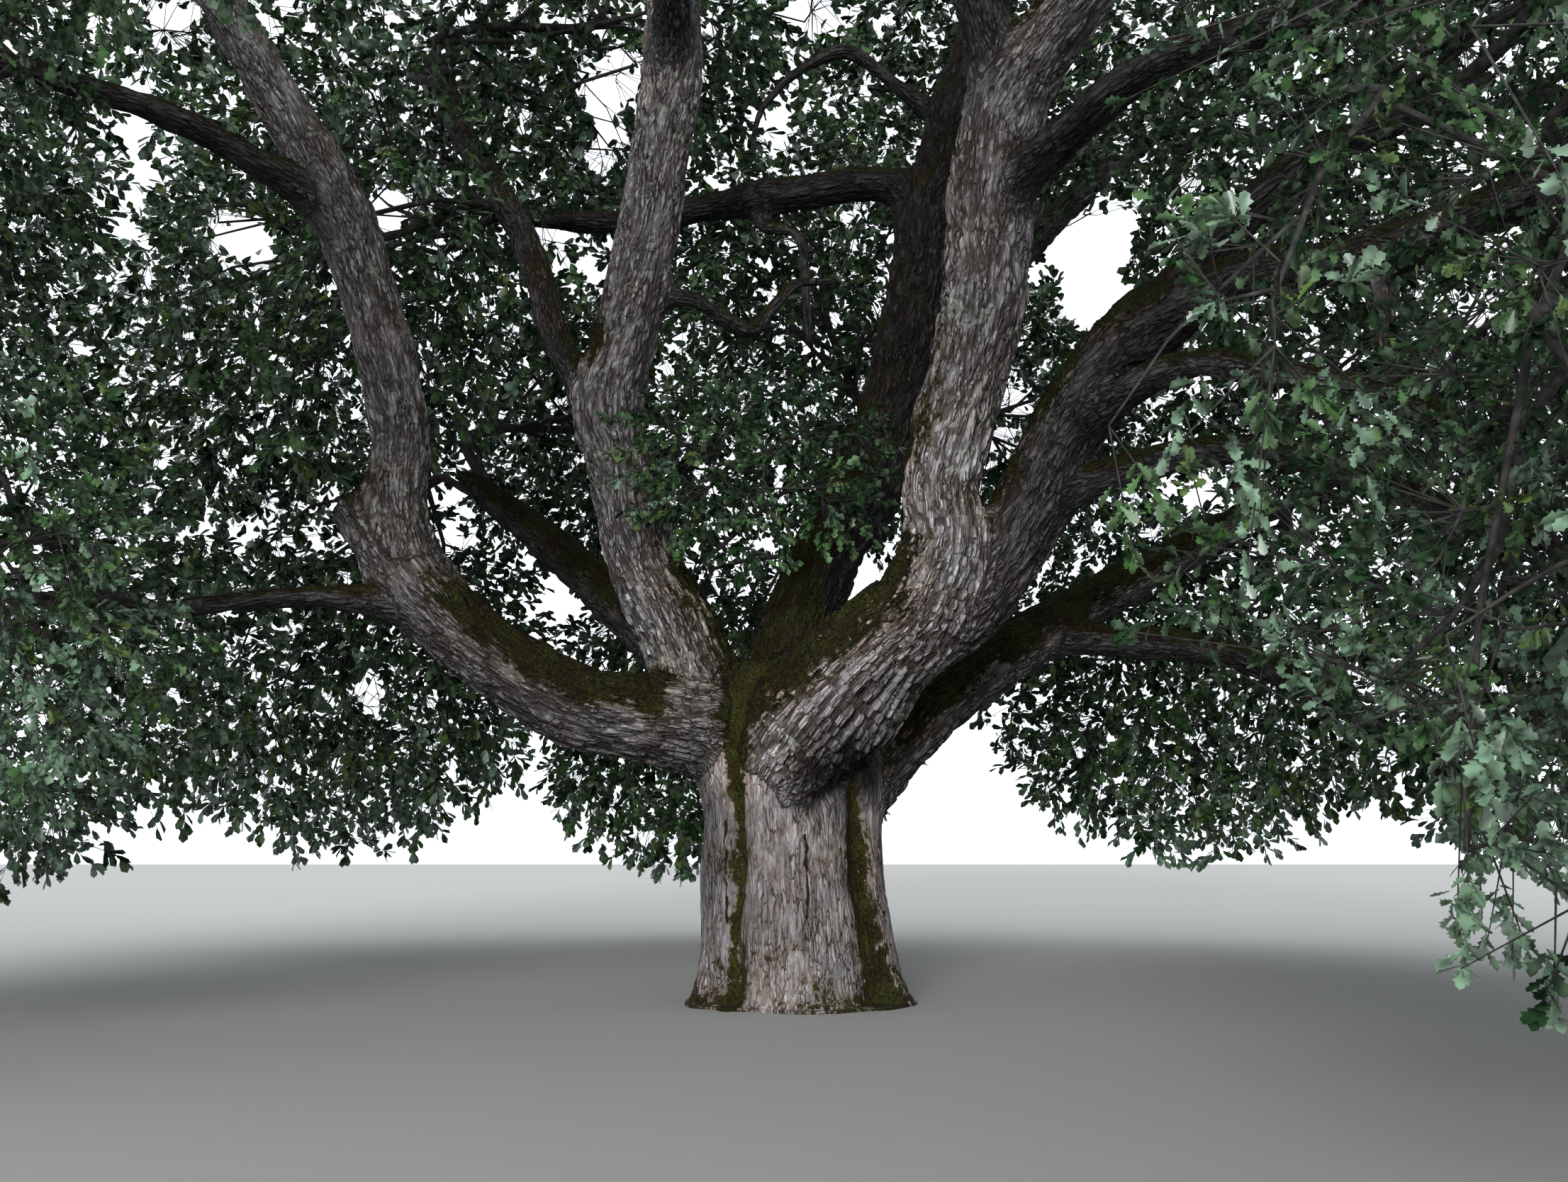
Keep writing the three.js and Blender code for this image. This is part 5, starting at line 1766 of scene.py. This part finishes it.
def leafMaterial(name, colour, gloss):
    material, tree, shader = newMaterial(name)
    seen = place(tree, "NewGeometry", {}).outputs
    faces = useGroup(tree, shared["leaf"], Place=seen["Position"], Under=seen["Backfacing"], Top=colour)
    connect(tree, shader.inputs["Base Color"], faces["Color"])
    connect(tree, shader.inputs["Roughness"], faces["Roughness"])
    shader.inputs["Specular IOR Level"].default_value = gloss
    shader.inputs["Coat Weight"].default_value = gloss * 0.2
    shader.inputs["Coat Roughness"].default_value = 0.25
    return material


def twigMaterial(name, size):
    material, tree, shader = newMaterial(name)
    position = place(tree, "NewGeometry", {}).outputs["Position"]
    mottled = useGroup(tree, shared["mottled"], Place=position, Size=size)
    connect(tree, shader.inputs["Base Color"], mottled["Color"])
    shader.inputs["Roughness"].default_value = 0.85
    bump = place(tree, "Bump", {}, Height=mottled["Height"], Strength=0.6, Distance=0.02)
    connect(tree, shader.inputs["Normal"], bump.outputs[0])
    return material


def growCrown(rng):
    stems = {}
    for bough in tubes:
        stems.update(stemLines(bough))
    grown = [growMass(index, name, stems[name]) for index, name in enumerate(masses)]
    outward = np.concatenate([mass["outward"] for mass in grown])
    taken = chosenShoots(np.vstack([mass["shoots"][0] for mass in grown]), outward, rng)
    counts = [len(mass["shoots"][0]) for mass in grown]
    for mass, kept in zip(grown, np.split(taken, np.cumsum(counts)[:-1])):
        prune(mass, kept)
    return grown


def rankOf(shoots, counts, rng):
    # each spray's rank from the darkest, 0, to the palest, 1, by random tone and by painted light and shade
    light = rng.normal(size=len(shoots)) * paintedLightAndTone["chance"]
    for size, strength in paintedLightAndTone["patches"]:
        light += softNoise(shoots[:, 2] / size, 71) * strength
    middles = np.repeat([masses[name][1] for name in masses], counts, axis=0)
    off = shoots[:, 2] - middles
    outside = unit(middles - massForm["crownHeart"])
    # painted light and shade: outer sprays and those on the crown's outer side lighter, upper ones darker in
    # low masses and lighter in high ones
    light += paintedLightAndTone["outer"] * (np.linalg.norm(off, axis=1) / massForm["reach"][0] - 0.7)
    light += paintedLightAndTone["outward"] * (off * outside).sum(1) / massForm["reach"][0]
    light += np.interp(middles[:, 2], *paintedLightAndTone["upper"]) * off[:, 2] / massForm["reach"][2]
    own = [paintedLightAndTone["masses"].get(name, paintedLightAndTone["otherMasses"]) for name in masses]
    lighter, contrast = np.repeat(own, counts, axis=0).T
    light = light * contrast + lighter
    return np.argsort(np.argsort(light)) / len(shoots)


def joined(batches):
    # points and faces of several batches as one
    offsets = np.cumsum([0] + [len(points) for points, faces in batches])
    moved = [faces + offset for (points, faces), offset in zip(batches, offsets)]
    return np.vstack([points for points, faces in batches]), np.vstack(moved)


def addLeaves(grown, rng):
    # leaves of each tint on the sprays of its rank, in pieces of a size that the export takes
    shoots = np.vstack([mass["shoots"][0] for mass in grown])
    kind = kindOf(shoots[:, 2])
    report(f"shoots grown: {np.bincount(kind)}, of the kinds {list(leafForm['sizes'])}")
    rank = rankOf(shoots, [len(mass["shoots"][0]) for mass in grown], rng)
    low, triangles = 0, 0
    for tint, (colour, share, gloss) in tints.items():
        material = leafMaterial("leaf_" + tint, colour, gloss)
        chosen = (rank >= low) & (rank < low + share)
        low += share
        batches = []
        for i, label in enumerate(leafForm["sizes"]):
            batches.append(leavesOn(shoots[chosen & (kind == i)], label, rng))
        points, faces = joined(batches)
        triangles += len(faces)
        parts = math.ceil(len(faces) / leafForm["mostTriangles"])
        for part, some in enumerate(np.array_split(faces, parts)):
            used, some = np.unique(some, return_inverse=True)
            piece = addObject(f"leaves_{tint}_{part + 1}", points[used], some.reshape(-1, 3), material)
            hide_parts(*masses)
    report(f"leaves made: {triangles} triangles")


def addTwigs(grown):
    material = twigMaterial("twig_bark", 14.0)
    quads = 0
    for kind, sides in crownForm["sides"].items():
        step = 2 if kind == "shoots" else 1  # shoots are drawn straight
        batches = []
        for mass in grown:
            lines, thick, thin = mass[kind]
            batches.append(rods(lines[:, ::step], thick, thin, sides))
        points, faces = joined(batches)
        quads += len(faces)
        piece = addObject(kind, points, faces, material)
        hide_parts(*masses)
    report(f"twigs made: {quads * 2} triangles")


tubes = {name: makeTube(name) for name in [*longBoughs, *sideBoughs, *moreLimbs]}
addBark()
crownChance = np.random.default_rng(5)
crown = growCrown(crownChance)
addLeaves(crown, crownChance)
addTwigs(crown)
